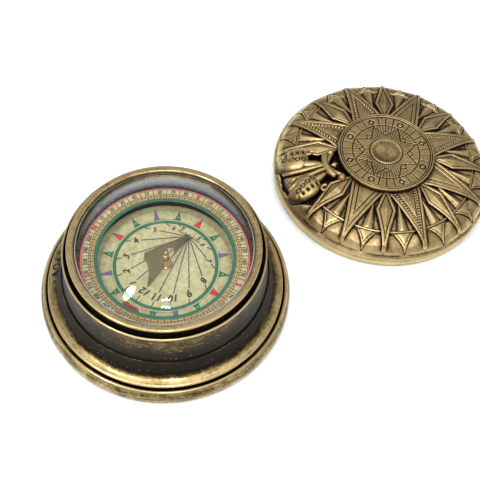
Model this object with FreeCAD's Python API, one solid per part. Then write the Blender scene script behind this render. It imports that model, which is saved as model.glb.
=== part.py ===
import FreeCAD, Part
import math
import os

# Pocket sundial compass: a turned case with a glazed floating dial, and its lift-off lid.
# Millimetres, +Z up. The origin is the centre of the foot on the table plane.

# --- case, measured outwards from the table and inwards from the foot ---
foot_dia = 80.0            # widest diameter of the foot bead
foot_height = 5.9          # top of the foot bead above the table
foot_ledge_height = 2.4    # floor of the groove between foot and flange
foot_ring_width = 5.5      # radial width of the foot ring at the table
bead_width = 2.1           # radial width of the foot bead
groove_width = 0.5         # overhang of the flange edge over its own skirt
flange_width = 6.4         # flange edge to lip, seen from above
flange_edge_height = 6.3   # height of the flange's outermost edge
flange_rise = 7.2          # rise of the coved flange up to the drum
case_height = 27.6         # table to the flat top of the bezel ring
lip_drop = 2.4             # bezel top down to the crest of the case lip
lip_step = 1.6             # lip to bezel, seen from above
bezel_face = 2.15          # width of the bezel's top face
wall = 1.4                 # wall of the case shell
plate_thickness = 1.2      # closing plate in the foot

# --- glazing ---
crystal_thickness = 1.2
crystal_rise = 10.95       # edge of the dome to its apex
crystal_edge = 0.95        # thickness of the flat edge flange
seal_thickness = 0.55

# --- dial well ---
ring_depth = 7.4           # bezel top down to the printed degree ring
ring_width = 5.0           # radial width of the printed degree ring
ring_inset = 1.55          # glazed opening edge to the outer edge of the print
backing_thickness = 0.5
print_thickness = 0.15
well_wall = 0.8

# --- floating dial ---
card_depth = 12.2          # bezel top down to the face of the card
card_overlap = 1.7         # how far the card runs in under the degree ring
card_gap = 0.9             # card edge to the wall of the well
card_thickness = 0.5
under_card = 4.8           # face of the card down to the floor of the well
noon_angle = 242.0         # direction of the noon line at rest, from +X
gnomon_thickness = 0.6
gnomon_tail = 13.4         # axis back to the origin of the hour lines
gnomon_nose = 9.3          # axis forward to the foot of the gnomon
gnomon_clear = 0.5         # gnomon apex to the inside of the crystal
notch_half_width = 2.5     # arch over the pivot cap
notch_back = 4.8           # axis to the far edge of the lower step behind the arch
notch_back_height = 4.0
notch_height = 8.5
cap_radius = 2.1
cap_height = 7.8
cap_bore = 1.2
card_hole = 1.3
pin_radius = 0.45
pivot_gap = 0.05           # running clearance between pin tip and jewel
boss_radius = 2.6
boss_height = 2.0
magnet_length = 14.0
magnet_width = 2.0
magnet_height = 1.2
magnet_offset = 6.0

# --- lid ---
lid_overhang = 7.85        # lid rim beyond the outside of its own collar
lid_side = 4.6             # height of the upright side wall
lid_dome = 8.3             # rise of the dome above the side wall
lid_wall = 1.3
lid_seat = 1.3             # lid rim up to the ledge that lands on the bezel
collar_clear = 0.25        # radial clearance of the lid collar round the bezel
collar_wall = 1.0
medallion_radius = 16.9
medallion_rise = 1.45      # medallion rim above the dome's crown
hub_radius = 5.3
ray_relief = 0.9           # height of the rays above the dome
kite_relief = 1.0
fleur_relief = 1.9
ray_count = 8
ray_half_width = 6.0       # long ray where it meets the medallion
kite_half_width = 3.4
kite_shoulder = 6.7        # medallion edge out to the widest part of a kite
lid_gap = 10.3             # clear distance between foot and lid on the table
lid_angle = 38.06          # direction of the lid from the case, from +X
fleur_angle = 202.5        # direction of the fleur-de-lis on the lid

# --- fits ---
slip = 0.05                # seated parts that are only dropped or glued in

# --- sizes that follow from the ones above ---
foot_r = foot_dia / 2.0
flange_r = foot_r - bead_width - groove_width
skirt_r = flange_r - groove_width
lip_r = flange_r - flange_width
bezel_r = lip_r - lip_step
glass_r = bezel_r - bezel_face
seat_r = glass_r + 0.75
inner_r = seat_r + 0.6
ledge_r = inner_r - 1.0
foot_inner_r = foot_r - foot_ring_width
lip_z = case_height - lip_drop
junction_z = flange_edge_height + flange_rise
glass_z = case_height - 1.15
ring_z = case_height - ring_depth
ring_outer = glass_r - ring_inset
ring_inner = ring_outer - ring_width
tray_z = ring_z - print_thickness - backing_thickness
card_r = ring_inner + card_overlap
card_z = case_height - card_depth
well_r = card_r + card_gap
floor_z = card_z - under_card
dome_r = glass_r - 0.15
ball_r = (dome_r ** 2 + crystal_rise ** 2) / (2.0 * crystal_rise)
ball_z = glass_z + crystal_rise - ball_r
inner_ball = ball_r - crystal_thickness
lid_r = bezel_r + collar_clear + collar_wall + lid_overhang
lid_x = (foot_r + lid_r + lid_gap) * math.cos(math.radians(lid_angle))
lid_y = (foot_r + lid_r + lid_gap) * math.sin(math.radians(lid_angle))


def at(r, z):
    """A point of a turned profile, in the XZ half plane."""
    return FreeCAD.Vector(r, 0, z)


def turn(points):
    """Solid of revolution about Z. A point is (r, z), or (r, z, r_mid, z_mid) for an arc to it."""
    edges = []
    last = points[0]
    for step in list(points[1:]) + [points[0][:2]]:
        start = at(last[0], last[1])
        end = at(step[0], step[1])
        if len(step) == 4:
            edges.append(Part.Arc(start, at(step[2], step[3]), end).toShape())
        elif start.distanceToPoint(end) > 1e-7:
            edges.append(Part.makeLine(start, end))
        last = step
    face = Part.Face(Part.Wire(edges))
    return face.revolve(FreeCAD.Vector(0, 0, 0), FreeCAD.Vector(0, 0, 1), 360)


def tube(r_in, r_out, z_low, z_high):
    """Plain ring."""
    return turn([(r_in, z_low), (r_out, z_low), (r_out, z_high), (r_in, z_high)])


def prism(points, z_low, z_high):
    """Upright prism on a closed polygon in plan."""
    wire = Part.makePolygon([FreeCAD.Vector(x, y, z_low) for x, y in points + points[:1]])
    return Part.Face(wire).extrude(FreeCAD.Vector(0, 0, z_high - z_low))


def spin(shape, angle):
    """Copy turned about Z by an angle in degrees."""
    copy = shape.copy()
    copy.rotate(FreeCAD.Vector(0, 0, 0), FreeCAD.Vector(0, 0, 1), angle)
    return copy


def dish_middle(r, centre_z, edge_z):
    """Point halfway out on the round dish that is level at the axis and meets the edge."""
    ball = (r ** 2 + (edge_z - centre_z) ** 2) / (2.0 * abs(edge_z - centre_z))
    drop = ball - math.sqrt(ball ** 2 - (r / 2.0) ** 2)
    return (r / 2.0, centre_z + math.copysign(drop, edge_z - centre_z))


def foot_ring():
    """Turned ring with the rounded bead the case stands on."""
    bead_r = foot_r - bead_width
    return turn([
        (foot_inner_r, 0.0),
        (foot_r - 0.7, 0.0),
        (foot_r, 1.5, foot_r - 0.18, 0.6),
        (bead_r + 0.7, foot_height, foot_r - 0.35, 4.1),
        (bead_r, foot_height - 0.6, bead_r + 0.18, foot_height - 0.16),
        (bead_r, foot_ledge_height),
        (foot_inner_r, foot_ledge_height),
    ])


def case_body():
    """Spun shell: skirt, coved flange, drum wall and the thin lip round its top."""
    edge_z = flange_edge_height
    drum_r = lip_r + 1.0
    return turn([
        (ledge_r, ring_z - 1.4),
        (ledge_r, junction_z - 2.0),
        (flange_r - 3.0, edge_z + 0.4),
        (skirt_r - wall, edge_z - 0.7),
        (skirt_r - wall, foot_ledge_height),
        (skirt_r, foot_ledge_height),
        (skirt_r, edge_z - 0.8),
        (flange_r, edge_z, flange_r - 0.1, edge_z - 0.55),
        (flange_r - 0.75, edge_z + 0.72, flange_r - 0.16, edge_z + 0.55),
        (drum_r + 0.7, junction_z - 0.1, drum_r + 1.9, edge_z + 2.6),
        (drum_r + 0.45, junction_z),
        (drum_r + 0.15, junction_z - 0.25),
        (drum_r, junction_z + 0.35),
        (lip_r - 0.35, lip_z - 1.3, drum_r - 1.05, (junction_z + lip_z) / 2.0),
        (lip_r, lip_z - 0.45, lip_r - 0.08, lip_z - 0.95),
        (lip_r - 0.5, lip_z, lip_r - 0.15, lip_z - 0.12),
        (bezel_r - 0.45, lip_z - 0.9, lip_r - 1.2, lip_z - 0.85),
        (inner_r, lip_z - 0.9),
        (inner_r, ring_z - 1.4),
    ])


def base_plate():
    """Flat disc that closes the case inside the foot ring."""
    return Part.makeCylinder(foot_inner_r - slip, plate_thickness)


def bezel_ring():
    """Ring with the broad bright top face that holds the crystal down."""
    return turn([
        (glass_r, glass_z + 0.02),
        (glass_r, case_height - 0.45),
        (glass_r + 0.45, case_height, glass_r + 0.2, case_height - 0.12),
        (bezel_r - 0.45, case_height),
        (bezel_r, case_height - 0.5, bezel_r - 0.12, case_height - 0.14),
        (bezel_r - 0.5, lip_z - 0.3, bezel_r - 0.12, lip_z + 0.9),
        (bezel_r - 0.5, lip_z - 0.85),
        (inner_r - slip, lip_z - 0.85),
        (inner_r - slip, ring_z + 0.9),
        (seat_r, ring_z + 0.9),
        (seat_r, glass_z + 0.02),
    ])


def crystal():
    """Blown glass dome of even thickness with a flat edge flange."""
    low = glass_z - crystal_edge
    inner_edge = math.sqrt(inner_ball ** 2 - (low - ball_z) ** 2)
    half = math.radians(90.0) - 0.5 * math.atan2(dome_r, glass_z - ball_z)
    low_half = math.radians(90.0) - 0.5 * math.atan2(inner_edge, low - ball_z)
    return turn([
        (0.0, ball_z + inner_ball),
        (0.0, ball_z + ball_r),
        (dome_r, glass_z, ball_r * math.cos(half), ball_z + ball_r * math.sin(half)),
        (seat_r - slip, glass_z),
        (seat_r - slip, low),
        (inner_edge, low),
        (0.0, ball_z + inner_ball,
         inner_ball * math.cos(low_half), ball_z + inner_ball * math.sin(low_half)),
    ])


def crystal_seal():
    """Thin black ring under the edge of the crystal."""
    top = glass_z - crystal_edge
    return tube(glass_r - 0.6, seat_r - slip, top - seal_thickness, top)


def inner_wall():
    """Polished funnel from the seal down to the degree ring."""
    top = glass_z - crystal_edge - seal_thickness
    return turn([
        (seat_r - slip, top),
        (glass_r - 0.35, top),
        (ring_outer + 0.02, ring_z),
        (ring_outer + 0.7, ring_z),
        (seat_r - 0.5, top - 0.7),
        (seat_r - slip, top - 0.7),
    ])


def degree_tray():
    """Flat metal ring that carries the printed degree scale over the well."""
    return tube(ring_inner, inner_r - 0.1, tray_z, tray_z + backing_thickness)


def degree_print():
    """Printed paper degree scale on its ring."""
    return tube(ring_inner, ring_outer, ring_z - print_thickness, ring_z)


def well_cup():
    """Black cup under the scale in which the dial floats, hung by its flange."""
    flange_low = ring_z - 1.4
    return turn([
        (0.0, floor_z - well_wall),
        (well_r + well_wall, floor_z - well_wall),
        (well_r + well_wall, flange_low),
        (inner_r - 0.1, flange_low),
        (inner_r - 0.1, tray_z),
        (well_r, tray_z),
        (well_r, floor_z),
        (0.0, floor_z),
    ])


def pivot_boss():
    """Brass boss that holds the steel pin on the floor of the well."""
    return turn([
        (pin_radius + 0.02, floor_z),
        (boss_radius, floor_z),
        (boss_radius, floor_z + 0.8),
        (boss_radius - 1.2, floor_z + boss_height),
        (pin_radius + 0.02, floor_z + boss_height),
    ])


def tip_z():
    """Height of the pin's point, where the floating dial balances."""
    return card_z + 0.5 * cap_height


def pivot_pin():
    """Steel needle that carries the floating dial."""
    return turn([
        (0.0, floor_z),
        (pin_radius, floor_z),
        (pin_radius, tip_z() - 1.0),
        (0.08, tip_z() - 0.06),
        (0.0, tip_z()),
    ])


def cap_jewel():
    """Polished cup that rests on the needle point."""
    low = tip_z() - 0.7
    high = tip_z() + 0.7
    return turn([
        (pin_radius + pivot_gap + 0.05, low),
        (cap_bore - 0.2, low),
        (cap_bore - 0.2, high),
        (0.0, high),
        (0.0, tip_z() + pivot_gap),
        (0.2, tip_z() + pivot_gap),
    ])


def pivot_cap():
    """Turned bell, neck, collar and knob on the dial's axis."""
    low = tip_z() - 0.7
    high = tip_z() + 0.7
    base = card_z
    top = card_z + cap_height
    corner = cap_radius * 0.33
    return turn([
        (cap_bore, base),
        (cap_radius - 0.08, base),
        (cap_radius - 0.08, base + 0.7, cap_radius, base + 0.35),
        (cap_radius - 0.35, base + 0.9),
        (cap_radius * 0.7, base + cap_height * 0.38, cap_radius * 0.86, base + cap_height * 0.22),
        (cap_radius * 0.43, base + cap_height * 0.60, cap_radius * 0.66, base + cap_height * 0.50),
        (cap_radius * 0.38, base + cap_height * 0.68),
        (cap_radius * 0.52, base + cap_height * 0.71),
        (cap_radius * 0.52, base + cap_height * 0.76),
        (cap_radius * 0.36, base + cap_height * 0.79),
        (cap_radius * 0.47, top - corner, cap_radius * 0.49, base + cap_height * 0.84),
        (cap_radius * 0.47 - corner, top, cap_radius * 0.47 - 0.293 * corner, top - 0.293 * corner),
        (0.0, top),
        (0.0, high),
        (cap_bore - 0.2, high),
        (cap_bore - 0.2, low),
        (cap_bore, low),
    ])


def card_disc():
    """Stiff thin disc of the floating dial."""
    top = card_z - print_thickness
    return tube(card_hole, card_r, top - card_thickness, top)


def card_print():
    """Printed face of the floating dial."""
    return tube(card_hole, card_r - slip, card_z - print_thickness, card_z)


def magnets():
    """Pair of magnet bars under the dial, along the noon line."""
    low = card_z - print_thickness - card_thickness - magnet_height
    bars = []
    for side in (-1, 1):
        corner = FreeCAD.Vector(-magnet_length / 2.0, side * magnet_offset - magnet_width / 2.0, low)
        bars.append(Part.makeBox(magnet_length, magnet_width, magnet_height, corner))
    return spin(Part.makeCompound(bars), noon_angle)


def gnomon():
    """Thin upright plate in the noon plane, notched over the pivot cap."""
    nose = gnomon_nose
    top_z = ball_z + math.sqrt(inner_ball ** 2 - (nose + 0.5) ** 2) - gnomon_clear
    height = top_z - card_z
    cusp = FreeCAD.Vector(nose + 0.8, 0, card_z + 0.85 * height)
    foot = FreeCAD.Vector(nose, 0, card_z)
    apex = FreeCAD.Vector(nose + 0.2, 0, card_z + height)
    tip = FreeCAD.Vector(-gnomon_tail, 0, card_z)
    shoulder = notch_height - notch_half_width
    back = FreeCAD.Vector(-notch_back, 0, card_z)
    back_top = FreeCAD.Vector(-notch_back, 0, card_z + notch_back_height)
    left_top = FreeCAD.Vector(-notch_half_width, 0, card_z + shoulder)
    crown = FreeCAD.Vector(0, 0, card_z + notch_height)
    right_top = FreeCAD.Vector(notch_half_width, 0, card_z + shoulder)
    right = FreeCAD.Vector(notch_half_width, 0, card_z)
    waist = FreeCAD.Vector(nose - 1.0, 0, card_z + 0.46 * height)
    edges = [
        Part.makeLine(tip, apex),
        Part.Arc(apex, (apex + cusp) * 0.5 + FreeCAD.Vector(-0.25, 0, 0), cusp).toShape(),
        Part.Arc(cusp, waist, foot).toShape(),
        Part.makeLine(foot, right),
        Part.makeLine(right, right_top),
        Part.Arc(right_top, crown, left_top).toShape(),
        Part.makeLine(left_top, back_top),
        Part.makeLine(back_top, back),
        Part.makeLine(back, tip),
    ]
    face = Part.Face(Part.Wire(edges))
    face.translate(FreeCAD.Vector(0, -gnomon_thickness / 2.0, 0))
    return spin(face.extrude(FreeCAD.Vector(0, gnomon_thickness, 0)), noon_angle)


def dome_height(r, edge_r, low, rise):
    """Height of the lid's full, bun-shaped dome at radius r."""
    share = min(r / edge_r, 1.0)
    return low + rise * math.sqrt(1.0 - share ** 3)


def dome_solid(edge_r, low, rise):
    """Solid dome from the table plane up to the bun-shaped surface."""
    count = 26
    points = []
    for i in range(count + 1):
        turn_angle = math.radians(90.0) * i / count
        r = edge_r * math.sin(turn_angle) ** (2.0 / 3.0)
        points.append(at(r, dome_height(r, edge_r, low, rise)))
    curve = Part.BSplineCurve()
    curve.interpolate(points)
    side = Part.makeLine(at(edge_r, low), at(edge_r, 0.0))
    bottom = Part.makeLine(at(edge_r, 0.0), at(0.0, 0.0))
    axis = Part.makeLine(at(0.0, 0.0), at(0.0, low + rise))
    face = Part.Face(Part.Wire([curve.toShape(), side, bottom, axis]))
    return face.revolve(FreeCAD.Vector(0, 0, 0), FreeCAD.Vector(0, 0, 1), 360)


def lid_blank(extra):
    """Dome of the lid grown upwards by an extra height, to trim relief to."""
    return dome_solid(lid_r - 0.3, lid_side, lid_dome + extra)


def place(shape):
    """Carry a lid part to where the lid lies beside the case."""
    shape.translate(FreeCAD.Vector(lid_x, lid_y, 0))
    return shape


def lid_shell():
    """Cast dome with its upright side wall, hollow underneath."""
    side = turn([
        (0.0, 0.0),
        (lid_r - 0.3, 0.0),
        (lid_r, 0.3),
        (lid_r, lid_side - 0.35),
        (lid_r - 0.3, lid_side, lid_r - 0.08, lid_side - 0.08),
        (0.0, lid_side),
    ])
    outside = side.fuse(lid_blank(0.0))
    inside = dome_solid(lid_r - 0.3 - lid_wall, lid_side - 0.8, lid_dome - 0.3)
    return outside.cut(inside).removeSplitter()


def lid_collar():
    """Ring in the lid's mouth: a spigot round the bezel and a ledge that lands on it."""
    spigot_r = bezel_r + collar_clear
    return turn([
        (spigot_r, 0.2),
        (spigot_r + collar_wall, 0.2),
        (spigot_r + collar_wall, lid_seat),
        (lid_r - 0.3 - lid_wall - slip, lid_seat),
        (lid_r - 0.3 - lid_wall - slip, lid_seat + 1.0),
        (glass_r + 0.3, lid_seat + 1.0),
        (glass_r + 0.3, lid_seat),
        (spigot_r, lid_seat),
    ])


def lid_medallion():
    """Round medallion on the crown: double rim, flat field and dished hub."""
    top = lid_side + lid_dome + medallion_rise
    dish = dish_middle(hub_radius - 0.6, top - 0.25, top + 0.25)
    blank = turn([
        (0.0, lid_side),
        (medallion_radius, lid_side),
        (medallion_radius, top - 0.4),
        (medallion_radius - 0.9, top, medallion_radius - 0.3, top - 0.08),
        (medallion_radius - 1.6, top - 0.3),
        (hub_radius + 0.4, top - 0.15),
        (hub_radius, top + 0.25, hub_radius + 0.1, top + 0.12),
        (hub_radius - 0.6, top + 0.25, hub_radius - 0.3, top + 0.35),
        (0.0, top - 0.25) + dish,
    ])
    return blank.cut(lid_blank(0.0))


def relief(shape, extra):
    """Trim an upright prism to a layer on the dome, clear of the medallion."""
    layer = shape.common(lid_blank(extra)).cut(lid_blank(0.0))
    return layer.cut(Part.makeCylinder(medallion_radius, 4.0 * lid_side + lid_dome))


def long_rays():
    """Broad triangular rays round the medallion, leaving out the one the fleur-de-lis takes."""
    step = 360.0 / ray_count
    tip = lid_r - 1.3
    root = medallion_radius - 1.5
    flat = [(root, -ray_half_width), (tip, 0.0), (root, ray_half_width)]
    blade = relief(prism(flat, lid_side - 1.0, 3.0 * lid_side + lid_dome), ray_relief)
    rays = []
    for i in range(ray_count - 1):
        rays.append(spin(blade, fleur_angle + step * (i + 1)))
    return Part.makeCompound(rays)


def fleur_plan():
    """Outline blocks of the fleur-de-lis in plan, pointing along +X."""
    high = 3.0 * lid_side + lid_dome
    low = lid_side - 1.0
    reach = lid_r - 1.4
    span = reach - medallion_radius
    rib = prism([(medallion_radius - 1.0, -1.1), (reach, -1.6), (reach, 1.6),
                 (medallion_radius - 1.0, 1.1)], low, high)
    band = prism([(medallion_radius + 0.20 * span, -5.4), (medallion_radius + 0.32 * span, -5.4),
                  (medallion_radius + 0.32 * span, 5.4), (medallion_radius + 0.20 * span, 5.4)],
                 low, high)
    whole = rib.fuse(band)
    for side in (-1, 1):
        leaf = Part.makeCylinder(4.6, high - low)
        leaf.translate(FreeCAD.Vector(medallion_radius + 0.68 * span, side * 5.4, low))
        neck = prism([(medallion_radius + 0.25 * span, side * 0.8),
                      (medallion_radius + 0.55 * span, side * 0.8),
                      (medallion_radius + 0.62 * span, side * 6.2)][::side], low, high)
        scroll = Part.makeCylinder(1.5, high - low)
        scroll.translate(FreeCAD.Vector(medallion_radius + 0.26 * span, side * 5.2, low))
        whole = whole.fuse(leaf).fuse(neck).fuse(scroll)
    return spin(whole, fleur_angle)


def lid_fleur():
    """Raised fleur-de-lis that takes the place of one long ray."""
    return relief(fleur_plan(), fleur_relief)


def kite_rays():
    """Narrow kite-shaped rays between the long ones, trimmed where the fleur-de-lis lies."""
    step = 360.0 / ray_count
    shoulder = medallion_radius + kite_shoulder
    tip = lid_r - 1.1
    flat = [(medallion_radius, -0.3), (shoulder, -kite_half_width), (tip, 0.0),
            (shoulder, kite_half_width), (medallion_radius, 0.3)]
    blade = relief(prism(flat, lid_side - 1.0, 3.0 * lid_side + lid_dome), kite_relief)
    keep_out = fleur_plan()
    rays = []
    for i in range(ray_count):
        rays.append(spin(blade, fleur_angle + step * (i + 0.5)).cut(keep_out))
    return Part.makeCompound(rays)


parts = {
    "foot_ring": foot_ring(),
    "case_body": case_body(),
    "base_plate": base_plate(),
    "bezel_ring": bezel_ring(),
    "crystal": crystal(),
    "crystal_seal": crystal_seal(),
    "inner_wall": inner_wall(),
    "degree_tray": degree_tray(),
    "degree_print": degree_print(),
    "well_cup": well_cup(),
    "pivot_boss": pivot_boss(),
    "pivot_pin": pivot_pin(),
    "card_disc": card_disc(),
    "card_print": card_print(),
    "magnets": magnets(),
    "gnomon": gnomon(),
    "pivot_cap": pivot_cap(),
    "cap_jewel": cap_jewel(),
    "lid_shell": place(lid_shell()),
    "lid_collar": place(lid_collar()),
    "lid_medallion": place(lid_medallion()),
    "long_rays": place(long_rays()),
    "kite_rays": place(kite_rays()),
    "lid_fleur": place(lid_fleur()),
}

os.makedirs("parts", exist_ok=True)
for name, shape in parts.items():
    shape.exportStep("parts/" + name + ".step")
    print(name, "solids", len(shape.Solids), "valid", shape.isValid(), "volume", round(shape.Volume, 1))
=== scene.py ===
# %% [markdown]
# # Pocket sundial compass with its lid off
# A small brass case holds a floating dial under a domed crystal. The dial carries a pair of magnets
# and a sheet gnomon, so the sundial turns itself to the north. A cast lid with a star in relief lies
# beside it. The CAD model fixes every place and size; this file gives the pieces their looks.

# %% Load the frame and keep its box
import math
import bpy
import mathutils
import numpy as np
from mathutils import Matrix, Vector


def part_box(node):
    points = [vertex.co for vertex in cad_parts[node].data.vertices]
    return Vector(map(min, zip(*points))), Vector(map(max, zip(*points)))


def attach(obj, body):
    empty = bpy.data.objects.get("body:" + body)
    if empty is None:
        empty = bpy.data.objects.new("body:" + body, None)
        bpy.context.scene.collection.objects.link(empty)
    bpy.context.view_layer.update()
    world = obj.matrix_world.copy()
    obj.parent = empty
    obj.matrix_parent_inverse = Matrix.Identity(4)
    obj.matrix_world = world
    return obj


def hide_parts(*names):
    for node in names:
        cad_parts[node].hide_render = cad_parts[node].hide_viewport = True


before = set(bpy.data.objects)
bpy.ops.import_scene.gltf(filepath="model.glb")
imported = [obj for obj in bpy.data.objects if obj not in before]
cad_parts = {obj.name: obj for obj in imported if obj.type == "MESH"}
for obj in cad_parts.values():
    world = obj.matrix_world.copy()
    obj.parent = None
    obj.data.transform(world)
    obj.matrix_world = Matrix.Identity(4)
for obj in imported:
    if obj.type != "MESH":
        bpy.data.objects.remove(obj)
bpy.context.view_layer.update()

# %% [markdown]
# ## Measures
# Shapes below are written in millimetres, as the maker would, and turned into metres when a mesh is
# made. The main places come from the boxes of the CAD nodes.

# %% Places read from the frame
MM = 0.001


def top_of(node):
    """Highest point of a CAD node, in millimetres."""
    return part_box(node)[1][2] / MM


def radius_of(node):
    """Half the X width of a round CAD node, in millimetres."""
    low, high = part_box(node)
    return (high[0] - low[0]) / 2.0 / MM


foot_r = radius_of("foot_ring")
flange_r = radius_of("case_body")
bezel_r = radius_of("bezel_ring")
lip_r = flange_r - 6.4
case_top = top_of("bezel_ring")
lip_z = case_top - 2.4
ring_z = top_of("degree_print")
ring_out = radius_of("degree_print")
ring_in = ring_out - 5.0
card_z = top_of("card_print")
card_r = radius_of("card_print")
glass_r = bezel_r - 2.15
glass_z = case_top - 1.15
lid_low, lid_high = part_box("lid_shell")
lid_x = (lid_low[0] + lid_high[0]) / 2.0 / MM
lid_y = (lid_low[1] + lid_high[1]) / 2.0 / MM
lid_r = radius_of("lid_shell")
medal_r = radius_of("lid_medallion")
NOON = math.radians(242.0)
FLEUR = math.radians(202.5)
print("foot", round(foot_r, 2), "case top", round(case_top, 2), "lid at", round(lid_x, 2), round(lid_y, 2))

# %% [markdown]
# ## Making meshes from arrays
# Every new piece is a surface worked out as whole arrays. A part is a dictionary of points (mm),
# faces and, for each point, a darkness (0 to 1) and a colour. The darkness is patina kept in hollows
# and, on some walls, painted shade and painted reflection. Parts of one piece are strung together
# into one mesh. A closed part is turned right side out by its signed volume.

# %% Mesh helpers
def part(points, faces, hollow=0.0, tint=(1.0, 1.0, 1.0), closed=True):
    """One part: points (n, 3), a list of face arrays, and the darkness (patina, in places painted shade and
    painted reflection) and tint spread over the points.
    """
    points = np.asarray(points, float)
    faces = [np.asarray(f, int) for f in faces if len(f)]
    count = len(points)
    if closed and signed_volume(points, faces) < 0:
        faces = [f[:, ::-1] for f in faces]
    return {
        "points": points,
        "faces": faces,
        "hollow": np.broadcast_to(np.asarray(hollow, float).ravel(), (count,)),
        "tint": np.broadcast_to(np.asarray(tint, float), (count, 3)),
    }


def signed_volume(points, faces):
    """Sum over faces of the tetrahedra to the origin: positive if the faces point outwards."""
    total = 0.0
    for f in faces:
        for k in range(1, f.shape[1] - 1):
            a, b, c = points[f[:, 0]], points[f[:, k]], points[f[:, k + 1]]
            total += float(np.einsum("ij,ij->i", a, np.cross(b, c)).sum())
    return total


def add_object(name, data):
    """A new object in the scene, at the origin."""
    made = bpy.data.objects.new(name, data)
    bpy.context.scene.collection.objects.link(made)
    return made


def make_piece(name, parts, body, material, nodes=(), shift=(0.0, 0.0, 0.0), smooth=True):
    """Puts parts into one mesh at the origin, gives it a material and lets it ride on a body."""
    points = np.concatenate([p["points"] for p in parts]) + np.asarray(shift, float)
    hollow = np.concatenate([p["hollow"] for p in parts])
    tint = np.concatenate([p["tint"] for p in parts])
    starts = np.cumsum([0] + [len(p["points"]) for p in parts[:-1]])
    faces = []
    for p, start in zip(parts, starts):
        for f in p["faces"]:
            faces.extend((f + start).tolist())
    mesh = bpy.data.meshes.new(name)
    mesh.from_pydata((points * MM).tolist(), [], faces)
    mesh.polygons.foreach_set("use_smooth", np.full(len(mesh.polygons), smooth))
    depth = mesh.attributes.new("hollow", "FLOAT", "POINT")
    depth.data.foreach_set("value", hollow.astype(np.float32))
    colour = mesh.attributes.new("tint", "FLOAT_COLOR", "POINT")
    colour.data.foreach_set("color", np.c_[tint, np.ones(len(tint))].astype(np.float32).ravel())
    mesh.materials.append(material)
    mesh.update()
    piece = add_object(name, mesh)
    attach(piece, body)
    if nodes:
        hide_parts(*nodes)
    print(name, "triangles", len(mesh.loops) - 2 * len(mesh.polygons))


def grid_faces(rows, columns, wrap_rows=False, wrap_columns=False):
    """Quads of a rows x columns grid of points, closed round on itself where asked."""
    i = np.arange(rows if wrap_rows else rows - 1)
    j = np.arange(columns if wrap_columns else columns - 1)
    i, j = np.meshgrid(i, j, indexing="ij")
    i2, j2 = (i + 1) % rows, (j + 1) % columns
    corners = [i * columns + j, i * columns + j2, i2 * columns + j2, i2 * columns + j]
    return np.stack(corners, -1).reshape(-1, 4)


def fan(pole, ring, flip=False):
    """Triangles from a ring of point numbers to one pole, turned the other way if asked."""
    after = np.roll(ring, -1)
    return np.stack([np.full(len(ring), pole)] + ([after, ring] if flip else [ring, after]), 1)


# %% [markdown]
# ## Turned outlines
# The case was turned on a lathe, so it is an outline in the (radius, height) plane carried round the
# axis. The outline is written as corners and arcs, walked in even steps, and then blurred along its
# own length by a fraction of a step, which breaks every sharp corner as polishing does. The same
# blur, made wide, tells which points lie in a hollow: there the smooth curve runs outside the metal.

# %% Outlines and lathe
def trace(steps, spacing=0.25, closed=True):
    """Even points along straight runs (r, z) and arcs (r, z, r_mid, z_mid)."""
    pieces = []
    corners = list(steps) + ([steps[0][:2]] if closed else [])
    for start, step in zip(corners[:-1], corners[1:]):
        a, b = np.array(start[:2], float), np.array(step[:2], float)
        if len(step) == 4:
            m = np.array(step[2:], float)
            t = np.linspace(0, 1, 9)[:-1, None]
            bow = m - (a + b) / 2
            pts = a * (1 - t) + b * t + bow * 4 * t * (1 - t)
            length = np.linalg.norm(np.diff(np.vstack([pts, b]), axis=0), axis=1).sum()
            n = max(2, int(np.ceil(length / spacing)))
            t = np.linspace(0, 1, n + 1)[:-1, None]
            pieces.append(a * (1 - t) + b * t + bow * 4 * t * (1 - t))
        else:
            n = max(1, int(np.ceil(np.linalg.norm(b - a) / spacing)))
            t = np.linspace(0, 1, n + 1)[:-1, None]
            pieces.append(a * (1 - t) + b * t)
    points = np.vstack(pieces)
    return points if closed else np.vstack([points, corners[-1][:2]])


def bell(width):
    """Reach and weights of a Gaussian blur, its width counted in points."""
    reach = int(3 * width) + 1
    weight = np.exp(-0.5 * (np.arange(-reach, reach + 1) / width) ** 2)
    return reach, weight / weight.sum()


def blur(values, width, closed=True):
    """Weighted mean of neighbours along an outline, width counted in points."""
    reach, weight = bell(width)
    mode = "wrap" if closed else "edge"
    padded = np.pad(values, ((reach, reach), (0, 0)), mode=mode)
    return np.stack([np.convolve(padded[:, k], weight, "valid") for k in range(values.shape[1])], 1)


def turns_right(outline):
    """True if an outline runs clockwise: its area, summed from cross products, is negative."""
    x, y = outline[:, 0], outline[:, 1]
    return np.sum(x * np.roll(y, -1) - np.roll(x, -1) * y) < 0


def hollow_of(outline, width):
    """How far the widely blurred outline lies outside the true one, along the outward normal."""
    tangent = np.roll(outline, -1, 0) - np.roll(outline, 1, 0)
    normal = np.stack([tangent[:, 1], -tangent[:, 0]], 1)
    normal /= np.maximum(np.linalg.norm(normal, axis=1, keepdims=True), 1e-9)
    if turns_right(outline):
        normal = -normal
    return np.einsum("ij,ij->i", blur(outline, width) - outline, normal)


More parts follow.
